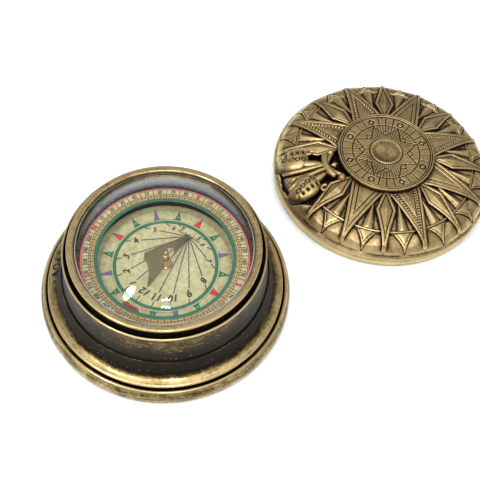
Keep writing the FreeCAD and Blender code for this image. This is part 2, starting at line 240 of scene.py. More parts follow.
def lathe(outline, segments=256, hollow=0.0, tint=(1.0, 1.0, 1.0)):
    """Carries a closed outline round Z: point (r cos a, r sin a, z). Ends on the axis become poles."""
    a = np.arange(segments) * 2 * np.pi / segments
    hollow = np.broadcast_to(hollow, (len(outline),))
    on_axis = outline[0, 0] < 1e-6 and outline[-1, 0] < 1e-6
    body = outline[1:-1] if on_axis else outline
    depth = hollow[1:-1] if on_axis else hollow
    rise = np.repeat(body[:, 1:], segments, 1)
    points = np.stack([body[:, :1] * np.cos(a), body[:, :1] * np.sin(a), rise], -1).reshape(-1, 3)
    values = np.repeat(depth, segments)
    faces = [grid_faces(len(body), segments, wrap_rows=not on_axis, wrap_columns=True)]
    if on_axis:
        count = len(points)
        points = np.vstack([points, [0, 0, outline[0, 1]], [0, 0, outline[-1, 1]]])
        values = np.r_[values, hollow[0], hollow[-1]]
        j = np.arange(segments)
        faces += [fan(count, j, flip=True), fan(count + 1, count - segments + j)]
    return part(points, faces, values, tint)


# %% [markdown]
# ## Finishes
# Antiqued brass is brass that was blackened all over and then rubbed back, so the black stays in the
# hollows and the rubbed edges shine. One recipe makes all of it: a ramp from bright through tan to
# black is read by the hollow attribute plus two sizes of noise, and the same sum
# makes the dark parts duller. That attribute holds the black in the hollows and, on some walls,
# painted shade and painted reflection too. Turned pieces also get fine rings, which are noise
# stretched along the circumference.

# %% Antiqued brass
def node(tree, kind, **inputs):
    """Adds a shader node and sets or links its inputs by name."""
    made = tree.nodes.new(kind)
    for key, value in inputs.items():
        name = key.replace("_", " ")
        if isinstance(value, bpy.types.NodeSocket):
            tree.links.new(value, made.inputs[name])
        else:
            made.inputs[name].default_value = value
    return made


def math_node(tree, operation, a, b=None, clamp=False):
    """A Math node on two values or sockets."""
    made = tree.nodes.new("ShaderNodeMath")
    made.operation = operation
    made.use_clamp = clamp
    for socket, value in zip(made.inputs, (a, b)):
        if isinstance(value, bpy.types.NodeSocket):
            tree.links.new(value, socket)
        elif value is not None:
            socket.default_value = value
    return made.outputs[0]


def add_centred(tree, total, grey, weight):
    """Adds weight times (grey - 0.5) to a sum, so that noise moves it both ways."""
    centred = math_node(tree, "SUBTRACT", grey, 0.5)
    return math_node(tree, "ADD", total, math_node(tree, "MULTIPLY", centred, weight))


def ramp(tree, factor, stops):
    """A colour ramp from (position, colour) pairs."""
    made = tree.nodes.new("ShaderNodeValToRGB")
    tree.links.new(factor, made.inputs[0])
    band = made.color_ramp
    while len(band.elements) < len(stops):
        band.elements.new(0.5)
    for element, (position, colour) in zip(band.elements, stops):
        element.position = position
        element.color = (*colour, 1.0)
    return made.outputs[0]


def grey_ramp(tree, factor, stops):
    """A ramp of plain values, from (position, value) pairs."""
    return ramp(tree, factor, [(position, (value,) * 3) for position, value in stops])


def new_material(name):
    """An empty node material with its Principled shader and output."""
    material = bpy.data.materials.new(name)
    material.use_nodes = True
    tree = material.node_tree
    tree.nodes.clear()
    shader = tree.nodes.new("ShaderNodeBsdfPrincipled")
    output = tree.nodes.new("ShaderNodeOutputMaterial")
    tree.links.new(shader.outputs[0], output.inputs[0])
    return material, tree, shader


def object_space(tree, centre=(0.0, 0.0, 0.0)):
    """Object coordinates with the given centre (mm) moved to zero."""
    where = tree.nodes.new("ShaderNodeTexCoord")
    shift = node(tree, "ShaderNodeMapping", Vector=where.outputs["Object"])
    shift.inputs["Location"].default_value = tuple(-c * MM for c in centre)
    return shift.outputs[0]


def noise(tree, vector, scale, detail=3.0, rough=0.55):
    """Noise value; scale counts features per metre."""
    made = node(tree, "ShaderNodeTexNoise", Vector=vector, Scale=scale, Detail=detail, Roughness=rough)
    return made.outputs["Fac"]


def turning_marks(tree, vector):
    """Noise in (radius, angle, height), squeezed along the angle so it runs in rings."""
    split = node(tree, "ShaderNodeSeparateXYZ", Vector=vector)
    x, y, z = split.outputs
    radius = math_node(tree, "SQRT", math_node(tree, "ADD", math_node(tree, "MULTIPLY", x, x),
                                               math_node(tree, "MULTIPLY", y, y)))
    angle = math_node(tree, "ARCTAN2", y, x)
    rings = tree.nodes.new("ShaderNodeCombineXYZ")
    tree.links.new(radius, rings.inputs[0])
    tree.links.new(math_node(tree, "MULTIPLY", angle, 0.0016), rings.inputs[1])
    tree.links.new(z, rings.inputs[2])
    return noise(tree, rings.outputs[0], 2600.0, 2.0, 0.5)


def antique_brass(name, bright, tan, dark, black, centre=(0.0, 0.0, 0.0), rings=0.0, bias=0.0, shine=0.30):
    """Brass whose colour, sheen and grain follow the hollow attribute (patina, with painted shade and painted
    reflection in places), two noises and turning rings.
    """
    material, tree, shader = new_material(name)
    vector = object_space(tree, centre)
    depth = node(tree, "ShaderNodeAttribute")
    depth.attribute_name = "hollow"
    broad = noise(tree, vector, 130.0, 4.0, 0.6)
    fine = noise(tree, vector, 900.0, 4.0, 0.65)
    grains = noise(tree, vector, 3500.0, 2.0, 0.6)
    wear_and_painted_light = depth.outputs["Fac"]
    for grey, weight in ((broad, 0.75), (fine, 0.65), (grains, 0.16)):
        wear_and_painted_light = add_centred(tree, wear_and_painted_light, grey, weight)
    if rings:
        wear_and_painted_light = add_centred(tree, wear_and_painted_light, turning_marks(tree, vector), rings)
    wear_and_painted_light = math_node(tree, "ADD", wear_and_painted_light, 0.30 + bias, clamp=True)
    colour = ramp(tree, wear_and_painted_light, [(0.08, bright), (0.34, tan), (0.62, dark), (0.86, black)])
    dust = node(tree, "ShaderNodeTexNoise", Vector=vector, Scale=2100.0, Detail=1.0, Roughness=0.4)
    speck = grey_ramp(tree, dust.outputs["Fac"], [(0.735, 0.0), (0.765, 0.55)])
    dusty = tree.nodes.new("ShaderNodeMix")
    dusty.data_type = "RGBA"
    tree.links.new(speck, dusty.inputs[0])
    tree.links.new(colour, dusty.inputs[6])
    dusty.inputs[7].default_value = (0.62, 0.60, 0.52, 1.0)
    tree.links.new(dusty.outputs[2], shader.inputs["Base Color"])
    dull = grey_ramp(tree, wear_and_painted_light, [(0.1, shine), (0.5, shine + 0.12), (0.9, 0.38)])
    tree.links.new(dull, shader.inputs["Roughness"])
    metal = grey_ramp(tree, wear_and_painted_light, [(0.5, 1.0), (0.9, 0.85)])
    tree.links.new(metal, shader.inputs["Metallic"])
    bump = node(tree, "ShaderNodeBump", Height=fine, Strength=0.10, Distance=0.0002)
    second = node(tree, "ShaderNodeBump", Height=grains, Strength=0.12, Distance=0.00005,
                  Normal=bump.outputs[0])
    tree.links.new(second.outputs[0], shader.inputs["Normal"])
    return material


case_brass = antique_brass("case_brass", (0.72, 0.55, 0.28), (0.35, 0.25, 0.10), (0.060, 0.037, 0.016),
                           (0.012, 0.008, 0.005), rings=0.6, bias=0.06, shine=0.29)
lid_brass = antique_brass("lid_brass", (0.72, 0.54, 0.27), (0.52, 0.37, 0.17), (0.14, 0.095, 0.045),
                          (0.010, 0.007, 0.004), centre=(lid_x, lid_y, 0.0), bias=0.04, shine=0.38)
print("antiqued brass ready")

# %% [markdown]
# ## The foot, the case and the bezel
# The case is thin brass, turned and then blackened. Its foot is a rounded bead, then a deep black
# groove, then a flange that sweeps up in a cove to the drum wall, and the drum ends in a thin bright
# lip. The bezel is a separate ring with a flat, rubbed top. Each is one outline on the lathe, and its
# darkening is given as spots on the outline, each with a reach and a strength: black kept in the
# grooves, and painted shade on the drum and foot walls in place of a darker mirrored room. Spots of
# minus strength lighten rubbed crests, and on the flange band they also paint in a highlight.

# %% Case outlines
def stain(outline, spots):
    """Darkness along an outline: the sum of bells centred on (r, z) with a reach and a strength."""
    total = np.zeros(len(outline))
    for r, z, reach, strength in spots:
        away = np.hypot(outline[:, 0] - r, outline[:, 1] - z)
        total += strength * np.exp(-(away / reach) ** 2)
    return total


def turned_part(steps, spots, spacing=0.3, soften=0.7):
    """Lathe part from corners and arcs, with its edges broken, its black kept in the hollows, and darkened
    and lightened at the given spots, in part as painted shade.
    """
    outline = trace(steps, spacing)
    soft = blur(outline, soften)
    depth = 1.3 * hollow_of(soft, 3.0) + stain(soft, spots)
    return lathe(soft, 288, np.clip(depth, -0.35, 1.2))


drum_r = lip_r + 1.0
skirt_r = flange_r - 0.5
junction_z = 13.5
foot_part = turned_part(
    [(foot_r - 5.5, 0.02), (foot_r - 0.7, 0.02), (foot_r, 1.5, foot_r - 0.18, 0.6),
     (foot_r - 1.4, 5.9, foot_r - 0.35, 4.1), (foot_r - 2.1, 5.3, foot_r - 1.92, 5.74),
     (foot_r - 2.1, 2.4), (foot_r - 5.5, 2.4)],
    # Spots: black in the groove inside the foot; painted shade over the outer wall, strongest near the floor,
    # in place of a darker mirrored room; a lighter rubbed crest.
    [(foot_r - 2.1, 4.0, 1.3, 0.9), (foot_r - 0.1, 0.3, 0.8, 0.35), (foot_r, 2.8, 3.2, 0.12),
     (foot_r - 1.2, 5.9, 0.7, -0.15)])
make_piece("foot", [foot_part], "case", case_brass, ["foot_ring"])

case_part = turned_part(
    [(27.6, ring_z - 1.4), (27.6, 11.5), (34.4, 6.7), (35.5, 5.6), (35.5, 2.4), (skirt_r, 2.4),
     (skirt_r, 5.5), (flange_r, 6.3, flange_r - 0.1, 5.75), (flange_r - 0.75, 7.02, flange_r - 0.16, 6.85),
     (drum_r + 0.7, 13.4, drum_r + 1.9, 8.9), (drum_r + 0.45, junction_z), (drum_r + 0.15, 13.25),
     (drum_r, 13.85), (lip_r - 0.35, lip_z - 1.3, lip_r - 0.05, 19.35),
     (lip_r, lip_z - 0.45, lip_r - 0.08, lip_z - 0.95), (lip_r - 0.5, lip_z, lip_r - 0.15, lip_z - 0.12),
     (bezel_r - 0.45, lip_z - 0.9, lip_r - 1.2, lip_z - 0.85),
     (28.6, lip_z - 0.9), (28.6, ring_z - 1.4)],
    # Spots: black in the skirt and junction grooves, under the lip and under the bezel; a dark cove; painted
    # shade on the drum wall, strongest low down, in place of a darker mirrored room; the flange band
    # lightened by wear and by a painted highlight; lip crest and junction ridge lightened as rubbed edges.
    [(skirt_r, 3.6, 2.0, 1.1), (33.3, 10.4, 2.3, 0.85), (drum_r + 0.15, 13.2, 0.5, 0.9),
     (drum_r, 14.8, 2.8, 0.55),
     (lip_r + 0.3, 20.0, 4.0, 0.30), (bezel_r - 0.2, lip_z - 0.9, 1.1, 1.0), (lip_r, lip_z - 1.2, 0.45, 0.35),
     (flange_r - 1.4, 7.3, 1.2, -0.28),
     (lip_r - 0.4, lip_z, 0.35, -0.3), (drum_r + 0.5, junction_z, 0.25, -0.4)])
make_piece("case_shell", [case_part], "case", case_brass, ["case_body"])

bezel_part = turned_part(
    [(glass_r, glass_z + 0.02), (glass_r, case_top - 0.45),
     (glass_r + 0.45, case_top, glass_r + 0.2, case_top - 0.12),
     (bezel_r - 0.45, case_top), (bezel_r, case_top - 0.5, bezel_r - 0.12, case_top - 0.14),
     (bezel_r - 0.5, lip_z - 0.3, bezel_r - 0.12, lip_z + 0.9), (bezel_r - 0.5, lip_z - 0.85),
     (28.55, lip_z - 0.85), (28.55, ring_z + 0.9), (28.0, ring_z + 0.9), (28.0, glass_z + 0.02)],
    [(glass_r, glass_z + 0.1, 0.3, 0.35), (bezel_r - 0.4, lip_z - 0.2, 1.0, 0.9),
     (bezel_r - 0.9, case_top, 0.9, -0.25)], spacing=0.16, soften=0.6)
make_piece("bezel", [bezel_part], "case", case_brass, ["bezel_ring"])

# %% [markdown]
# ## Marks round the flange
# The flange carries a row of small inlaid marks. They are shallow recesses filled with black, so each
# mark is a thin plan shape laid on the cove: its points keep their plan place and take the cove's
# height. Dots, rings, bars, chevrons and a diamond stand in for lettering.

# %% Flange marks
def slab(plan, low, high, tint=(1.0, 1.0, 1.0), hollow=0.0):
    """A closed thin plate on a plan outline (n, 2): low and high are heights, numbers or arrays."""
    plan = np.asarray(plan, float)
    n = len(plan)
    points = np.vstack([np.c_[plan, np.broadcast_to(low, n)], np.c_[plan, np.broadcast_to(high, n)]])
    j = np.arange(n)
    k = (j + 1) % n
    sides = np.stack([j, k, n + k, n + j], 1)
    caps = [j[None, ::-1], (n + j)[None, :]]
    if turns_right(plan):
        caps, sides = [c[:, ::-1] for c in caps], sides[:, ::-1]
    return part(points, caps + [sides], hollow, tint, closed=False)


def turned_plan(plan, angle, radius=0.0):
    """Turns plan points (x across, y outwards) so that outwards points along angle, at a radius."""
    plan = np.asarray(plan, float)
    x, y = plan[:, 0], plan[:, 1] + radius
    c, s = np.cos(angle), np.sin(angle)
    return np.stack([x * s + y * c, -x * c + y * s], 1)


def disc_plan(radius, count):
    """A round outline in plan."""
    a = np.arange(count) * 2 * np.pi / count
    return radius * np.stack([np.cos(a), np.sin(a)], 1)


def ring_plan(outer, inner, count=28):
    """A washer in plan, cut open along one edge so that it is one outline."""
    a = np.linspace(0, 2 * np.pi, count + 1)
    circle = np.stack([np.cos(a), np.sin(a)], 1)
    return np.vstack([circle * outer, circle[::-1] * inner])


flange_run = trace([(flange_r - 0.75, 7.02), (drum_r + 0.7, 13.4, drum_r + 1.9, 8.9)], 0.2, closed=False)


def on_flange(plan, lift):
    """Height of the cove at plan points, plus a lift."""
    r = np.hypot(plan[:, 0], plan[:, 1])
    order = np.argsort(flange_run[:, 0])
    return np.interp(r, flange_run[order, 0], flange_run[order, 1]) + lift


FIRST_MARK = 152.5
MARK_STEP = 4.6
MARKS = {
    "dot": disc_plan(0.42, 14),
    "ring": ring_plan(1.0, 0.5),
    "bar": np.array([(-0.28, -1.0), (0.28, -1.0), (0.28, 1.0), (-0.28, 1.0)]),
    "diamond": np.array([(0, -1.0), (0.7, 0), (0, 1.0), (-0.7, 0)]),
    "chevron": np.array([(-0.85, -0.8), (-0.4, -0.8), (0, 0.2), (0.4, -0.8), (0.85, -0.8), (0.2, 0.9),
                         (-0.2, 0.9)]),
}
order_of_marks = ["dot", "ring", "bar", "chevron", "diamond", "bar", "ring", "chevron", "dot"]
mark_parts = []
for place, name in enumerate(order_of_marks):
    angle = math.radians(FIRST_MARK + MARK_STEP * place)
    plan = turned_plan(1.3 * MARKS[name], angle, flange_r - 2.2)
    mark_parts.append(slab(plan, on_flange(plan, -0.3), on_flange(plan, 0.03)))
print("flange marks", len(mark_parts))

# %% [markdown]
# ## Plain finishes
# Three recipes make the rest. One, with other numbers each time, is enamel, rubber, steel, board and
# bright brass. The second is paper and ink: it reads the tint attribute, so one material serves every
# colour of the print, with a fine mottle from noise as on aged card. The third is glass.

# %% Paper, ink, black and glass
def plain(name, colours, scale, roughness, metallic=0.0, grain=0.0):
    """A finish whose colour and roughness wander between two values, with a fine bump."""
    material, tree, shader = new_material(name)
    vector = object_space(tree)
    broad = noise(tree, vector, scale, 4.0, 0.6)
    tree.links.new(ramp(tree, broad, [(0.3, colours[0]), (0.7, colours[1])]), shader.inputs["Base Color"])
    dull = grey_ramp(tree, broad, [(0.3, roughness[0]), (0.7, roughness[1])])
    tree.links.new(dull, shader.inputs["Roughness"])
    shader.inputs["Metallic"].default_value = metallic
    if grain:
        fine = noise(tree, vector, 2500.0, 3.0, 0.6)
        bump = node(tree, "ShaderNodeBump", Height=fine, Strength=grain, Distance=0.0001)
        tree.links.new(bump.outputs[0], shader.inputs["Normal"])
    return material


def printed(name, mottle):
    """Paper or ink: the tint attribute, shaded by two sizes of blotch towards a warm brown."""
    material, tree, shader = new_material(name)
    vector = object_space(tree)
    tint = node(tree, "ShaderNodeAttribute")
    tint.attribute_name = "tint"
    blotch = noise(tree, vector, 700.0, 5.0, 0.7)
    speck = noise(tree, vector, 1700.0, 3.0, 0.6)
    brown = (1.0 - mottle * 0.35, 1.0 - mottle, 1.0 - mottle * 1.05)
    veil = ramp(tree, blotch, [(0.42, (1.0, 1.0, 1.0)), (0.60, brown)])
    mix = tree.nodes.new("ShaderNodeMix")
    mix.data_type = "RGBA"
    mix.blend_type = "MULTIPLY"
    mix.inputs[0].default_value = 1.0
    tree.links.new(tint.outputs["Color"], mix.inputs[6])
    tree.links.new(veil, mix.inputs[7])
    tree.links.new(mix.outputs[2], shader.inputs["Base Color"])
    tree.links.new(grey_ramp(tree, speck, [(0.3, 0.62), (0.7, 0.8)]), shader.inputs["Roughness"])
    bump = node(tree, "ShaderNodeBump", Height=speck, Strength=0.08, Distance=0.00005)
    tree.links.new(bump.outputs[0], shader.inputs["Normal"])
    return material


MIRROR_SHARE = 0.45


def clear_glass(name, body_tint, roughness):
    """Glass that bends sight, while light for the dial below passes straight through it.

    Its mirror strength is less than that of bare glass, so the bright room does not veil the dial."""
    material, tree, shader = new_material(name)
    shader.inputs["Base Color"].default_value = (*body_tint, 1.0)
    shader.inputs["Transmission Weight"].default_value = 1.0
    shader.inputs["IOR"].default_value = 1.47
    shader.inputs["Specular Tint"].default_value = (*(MIRROR_SHARE,) * 3, 1.0)
    vector = object_space(tree)
    smear = noise(tree, vector, 160.0, 3.0, 0.6)
    dull = grey_ramp(tree, smear, [(0.35, roughness), (0.8, roughness + 0.02)])
    tree.links.new(dull, shader.inputs["Roughness"])
    path = tree.nodes.new("ShaderNodeLightPath")
    clear = tree.nodes.new("ShaderNodeBsdfTransparent")
    clear.inputs[0].default_value = (*body_tint, 1.0)
    mix = tree.nodes.new("ShaderNodeMixShader")
    output = [n for n in tree.nodes if n.type == "OUTPUT_MATERIAL"][0]
    passes = math_node(tree, "MAXIMUM", path.outputs["Is Shadow Ray"], path.outputs["Is Diffuse Ray"])
    tree.links.new(passes, mix.inputs[0])
    tree.links.new(shader.outputs[0], mix.inputs[1])
    tree.links.new(clear.outputs[0], mix.inputs[2])
    tree.links.new(mix.outputs[0], output.inputs[0])
    return material


black_fill = plain("black_fill", [(0.006, 0.005, 0.005), (0.016, 0.013, 0.010)],
                   600.0, (0.35, 0.55), 0.2, 0.1)
rubber = plain("rubber", [(0.012, 0.012, 0.012), (0.022, 0.022, 0.022)], 500.0, (0.55, 0.75), 0.0, 0.15)
black_enamel = plain("black_enamel", [(0.008, 0.008, 0.008), (0.02, 0.019, 0.018)],
                     300.0, (0.45, 0.6), 0.0, 0.1)
dark_metal = plain("dark_metal", [(0.03, 0.03, 0.03), (0.07, 0.065, 0.06)], 400.0, (0.35, 0.5), 0.8, 0.1)
polished_grey = plain("polished_grey", [(0.022, 0.022, 0.022), (0.05, 0.049, 0.047)],
                      250.0, (0.20, 0.32), 0.9, 0.05)
steel = plain("steel", [(0.45, 0.45, 0.46), (0.6, 0.6, 0.6)], 800.0, (0.2, 0.32), 1.0, 0.05)
# Pale grey for the painted reflection ring along the glass edge.
edge_reflection_grey = plain("edge_reflection_grey", [(0.26, 0.27, 0.26), (0.42, 0.43, 0.42)], 500.0, (0.35, 0.5), 0.0, 0.1)
magnet_finish = plain("magnet_finish", [(0.22, 0.22, 0.23), (0.34, 0.34, 0.35)], 500.0, (0.3, 0.45), 1.0, 0.1)
board = plain("board", [(0.28, 0.24, 0.17), (0.38, 0.33, 0.24)], 500.0, (0.7, 0.85), 0.0, 0.2)
gnomon_brass = plain("gnomon_brass", [(0.235, 0.185, 0.08), (0.31, 0.25, 0.118)],
                     420.0, (0.36, 0.50), 0.85, 0.12)
bright_brass = plain("bright_brass", [(0.55, 0.34, 0.11), (0.70, 0.46, 0.18)], 300.0, (0.16, 0.28), 1.0, 0.05)
paper = printed("paper", 0.32)
ink = printed("ink", 0.10)
crystal_glass = clear_glass("crystal_glass", (0.985, 0.995, 0.99), 0.0)
jewel_glass = clear_glass("jewel_glass", (0.75, 0.10, 0.14), 0.02)
make_piece("band_marks", mark_parts, "case", black_fill)
print("plain finishes ready")

# %% [markdown]
# ## Crystal
# The crystal is blown glass of even thickness, so its section is two circle arcs with one centre and
# a flat edge flange. Cutting the lathe outline on the axis gives two poles, outside and inside. A thin
# pale ring laid just inside the bezel, along the edge of the glass, is a painted reflection.

# %% Crystal
crystal_rise = 10.95
dome_edge = glass_r - 0.15
ball_r = (dome_edge ** 2 + crystal_rise ** 2) / (2.0 * crystal_rise)
ball_z = glass_z + crystal_rise - ball_r
inner_ball = ball_r - 1.2
glass_low = glass_z - 0.95


def arc_points(radius, centre_z, r_from, r_to, count):
    """Points of a circle arc about a centre on the axis, even in angle."""
    a = np.linspace(np.arcsin(r_from / radius), np.arcsin(r_to / radius), count)
    return np.stack([radius * np.sin(a), centre_z + radius * np.cos(a)], 1)


inner_edge = math.sqrt(inner_ball ** 2 - (glass_low - ball_z) ** 2)
glass_outline = np.vstack([
    arc_points(ball_r, ball_z, 0.0, dome_edge, 80),
    [(dome_edge + 0.25, glass_z - 0.005), (27.9, glass_z - 0.01), (27.95, glass_z - 0.06),
     (27.95, glass_low + 0.05), (27.9, glass_low)],
    arc_points(inner_ball, ball_z, 0.0, inner_edge, 80)[::-1]])
make_piece("crystal_dome", [lathe(glass_outline, 256)], "case", crystal_glass, ["crystal"])

# A pale ring on the glass edge: a painted reflection line.
edge_outline = arc_points(ball_r + 0.03, ball_z, dome_edge - 0.38, dome_edge - 0.06, 6)
edge_outline = np.vstack([edge_outline, edge_outline[::-1] - [0.0, 0.05]])
make_piece("crystal_edge_reflection", [lathe(edge_outline, 256)], "case", edge_reflection_grey)

# %% [markdown]
# ## Degree scale
# The ring under the glass is printed card. Degrees run clockwise from N, a row of ticks every 2.5 and
# 5 degrees lies on two ochre bands, and every tenth degree has its number in a cell, top outwards.
# Each colour is its own thin plate, so the print is real geometry, 0.03 to 0.07 mm proud of the paper.
# The numbers are the built-in font made into a mesh, then placed with the same turn as any plan.

# %% Ink helpers
NORTH = math.radians(161.5)
INK_BLACK = (0.022, 0.020, 0.018)
INK_RED = (0.44, 0.035, 0.045)
INK_PINK = (0.66, 0.13, 0.13)
INK_GREEN = (0.008, 0.125, 0.07)
INK_OCHRE = (0.47, 0.31, 0.12)
INK_VIOLET = (0.13, 0.095, 0.24)
CREAM = (0.52, 0.515, 0.29)
CARD_CREAM = (0.42, 0.42, 0.225)
PAPER_THICKNESS = 0.14
CARD_HOLE = 1.3
SYMBOL_R = 16.85


def band(inner, outer, z, tint, lift=0.03, segments=360):
    """A flat printed ring between two radii."""
    outline = np.array([(inner, z), (inner, z + lift), (outer, z + lift), (outer, z)])
    return lathe(outline, segments, 0.0, tint)


def sheet(inner, outer, z, segments, tint):
    """A flat ring of paper whose face lies at z."""
    low = z - PAPER_THICKNESS
    return lathe(np.array([(inner, low), (inner, z), (outer, z), (outer, low)]), segments, 0.0, tint)


def stroke(start, end, width, z, tint, lift=0.045):
    """A straight printed line of a given width between two plan points."""
    start, end = np.asarray(start, float), np.asarray(end, float)
    along = (end - start) / np.linalg.norm(end - start)
    side = np.array([-along[1], along[0]]) * width / 2.0
    return slab([start - side, end - side, end + side, start + side], z, z + lift, tint)


def polar(radius, angle):
    """Plan point at a radius and an angle."""
    return np.array([radius * math.cos(angle), radius * math.sin(angle)])


def letters(text, size, place, turn, z, tint, slant=0.0, weight=0.0, squeeze=1.0):
    """Flat type: the built-in font as a thin closed mesh, sheared, centred, turned and placed."""
    curve = bpy.data.curves.new("type", "FONT")
    curve.body = text
    curve.size = 1.0
    curve.extrude = 0.02
    curve.offset = weight
    curve.resolution_u = 3
    holder = add_object("type", curve)
    mesh = bpy.data.meshes.new_from_object(holder)
    count = len(mesh.vertices)
    points = np.empty(count * 3)
    mesh.vertices.foreach_get("co", points)
    points = points.reshape(-1, 3)
    sizes = np.array([len(p.vertices) for p in mesh.polygons])
    corners = np.empty(len(mesh.loops), int)
    mesh.loops.foreach_get("vertex_index", corners)
    starts = np.cumsum(np.r_[0, sizes[:-1]])
    faces = [corners[starts[sizes == k][:, None] + np.arange(k)] for k in np.unique(sizes)]
    bpy.data.objects.remove(holder)
    bpy.data.curves.remove(curve)
    bpy.data.meshes.remove(mesh)
    middle = (points[:, :2].max(0) + points[:, :2].min(0)) / 2.0
    flat = (points[:, :2] - middle) * size / 0.7
    flat[:, 0] = flat[:, 0] * squeeze + slant * flat[:, 1]
    c, s = math.cos(turn), math.sin(turn)
    flat = flat @ np.array([[c, s], [-s, c]]) + np.asarray(place)
    level = np.where(points[:, 2] > 0, z + 0.05, z)
    return part(np.c_[flat, level], faces, 0.0, tint)


# %% Degree scale
z = ring_z
rim = ring_out
degree_ink = [
    band(rim - 4.95, rim - 4.1, z, INK_GREEN), band(rim - 3.8, rim - 3.25, z, INK_OCHRE),
    band(rim - 3.0, rim - 2.45, z, INK_OCHRE), band(rim - 0.5, rim - 0.05, z, INK_PINK)]
for radius in (rim - 3.85, rim - 3.12, rim - 2.38):
    degree_ink.append(band(radius - 0.08, radius + 0.08, z, INK_BLACK, 0.045))
for radius in (rim - 4.97, rim - 4.08, rim - 0.53):
    degree_ink.append(band(radius - 0.04, radius + 0.04, z, INK_BLACK, 0.045))
for step in range(144):
    angle = NORTH - math.radians(2.5 * step)
    start = rim - (3.87 if step % 2 == 0 else 3.12)
    end = rim - (0.5 if step % 4 == 2 else 2.38)
    degree_ink.append(stroke(polar(start, angle), polar(end, angle), 0.21, z, INK_BLACK))
for tens in range(36):
    angle = NORTH - math.radians(10.0 * tens)
    name = {0: "N", 9: "E", 18: "S", 27: "W"}.get(tens, str(tens * 10))
    tint = INK_RED if tens % 9 == 0 else INK_BLACK
    size = 1.75 if tens % 9 == 0 else 1.28
    degree_ink.append(letters(name, size, polar(rim - 1.45, angle), angle - math.pi / 2, z, tint,
                              weight=0.06 if tens % 9 == 0 else 0.03, squeeze=0.86))
make_piece("degree_paper", [sheet(ring_in, rim, z, 360, CREAM)], "case", paper,
           ["degree_print"], smooth=False)
make_piece("degree_scale_ink", degree_ink, "case", ink, smooth=False)

# %% [markdown]
# ## Floating dial
# The dial is a printed card. Its hour lines are those of a horizontal sundial: they leave one origin
# on the noon line, and the line of an hour h from noon turns by the angle whose tangent is
# sin(latitude) times tan(15 h). Morning hours lie to one side and afternoon hours to the other. The
# noon line would cross the hole in the middle, where the steel pin stands, so it stops short on each
# side of it. A sixteen-point border runs round the dial, with red, green and violet points and a
# trefoil at noon.

# %% Dial face
z = card_z
latitude = math.radians(44.0)
origin_to_axis = 12.5
clear_of_pin = 1.6
origin = -polar(origin_to_axis, NOON)
card_ink = [band(15.4, 16.3, z, INK_GREEN), band(20.62, 20.72, z, INK_BLACK),
            band(20.15, 20.22, z, INK_BLACK),
            band(16.85, 16.93, z, INK_BLACK), band(15.32, 15.42, z, INK_BLACK, 0.045),
            band(16.28, 16.36, z, INK_BLACK, 0.045)]


def hour_direction(hours):
    """Direction of an hour line: turned from noon by atan2(sin(latitude) sin(15 h), cos(15 h))."""
    t = math.radians(15.0 * hours)
    return NOON + math.atan2(math.sin(latitude) * math.sin(t), math.cos(t))


def where_line_meets(direction, radius):
    """Distance along a line from the origin to the circle of a given radius about the axis."""
    d = polar(1.0, direction)
    b = float(origin @ d)
    return -b + math.sqrt(b * b - float(origin @ origin) + radius * radius)


for hours in range(-7, 8):
    direction = hour_direction(hours)
    d = polar(1.0, direction)
    away = abs(hours)
    number = 12 if hours == 0 else (12 - hours if hours > 0 else -hours)
    size = 2.3 if 0 <= hours <= 3 else 2.0 if away <= 4 else 1.6
    middle = where_line_meets(direction, 11.6 + 0.35 * away)
    end = where_line_meets(direction, 15.35)
    gap = 0.62 * size + 0.35
    spans = [(0.5, middle - gap)] if middle - gap > 1.4 else []
    if hours == 0:
        spans = [(0.5, origin_to_axis - clear_of_pin), (origin_to_axis + clear_of_pin, middle - gap)]
    for near, far in spans:
        card_ink.append(stroke(origin + near * d, origin + far * d, 0.34, z, INK_BLACK))
    if end - middle > gap:
        card_ink.append(stroke(origin + (middle + gap) * d, origin + end * d, 0.34, z, INK_BLACK))
    spot = origin + middle * d
    top = math.atan2(spot[1], spot[0])
    card_ink.append(letters(str(number), size, spot, top - math.pi / 2, z, INK_BLACK, 0.25, 0.04, 1.0))


def point_plan(kind):
    """Outline of a border point, x across and y outwards from its base: plain, slender or fir-shaped."""
    if kind == "plain":
        half = [(1.15, 0.0), (0.0, 3.85)]
    elif kind == "slender":
        half = [(0.95, -0.1), (0.62, 1.1), (0.34, 2.4), (0.0, 3.95)]
    else:
        half = [(1.15, 0.0), (0.98, 0.45), (0.70, 0.75), (0.62, 1.4), (0.36, 1.9), (0.28, 2.6), (0.0, 3.75)]
    half = np.array(half)
    return np.vstack([half, (half * [-1, 1])[:-1][::-1]])


def grown(plan, width):
    """The outline moved outwards from its middle, for a dark edge round a coloured point."""
    middle = plan.mean(0)
    away = plan - middle
    return middle + away * (1.0 + width / np.maximum(np.linalg.norm(away, axis=1, keepdims=True), 0.5))


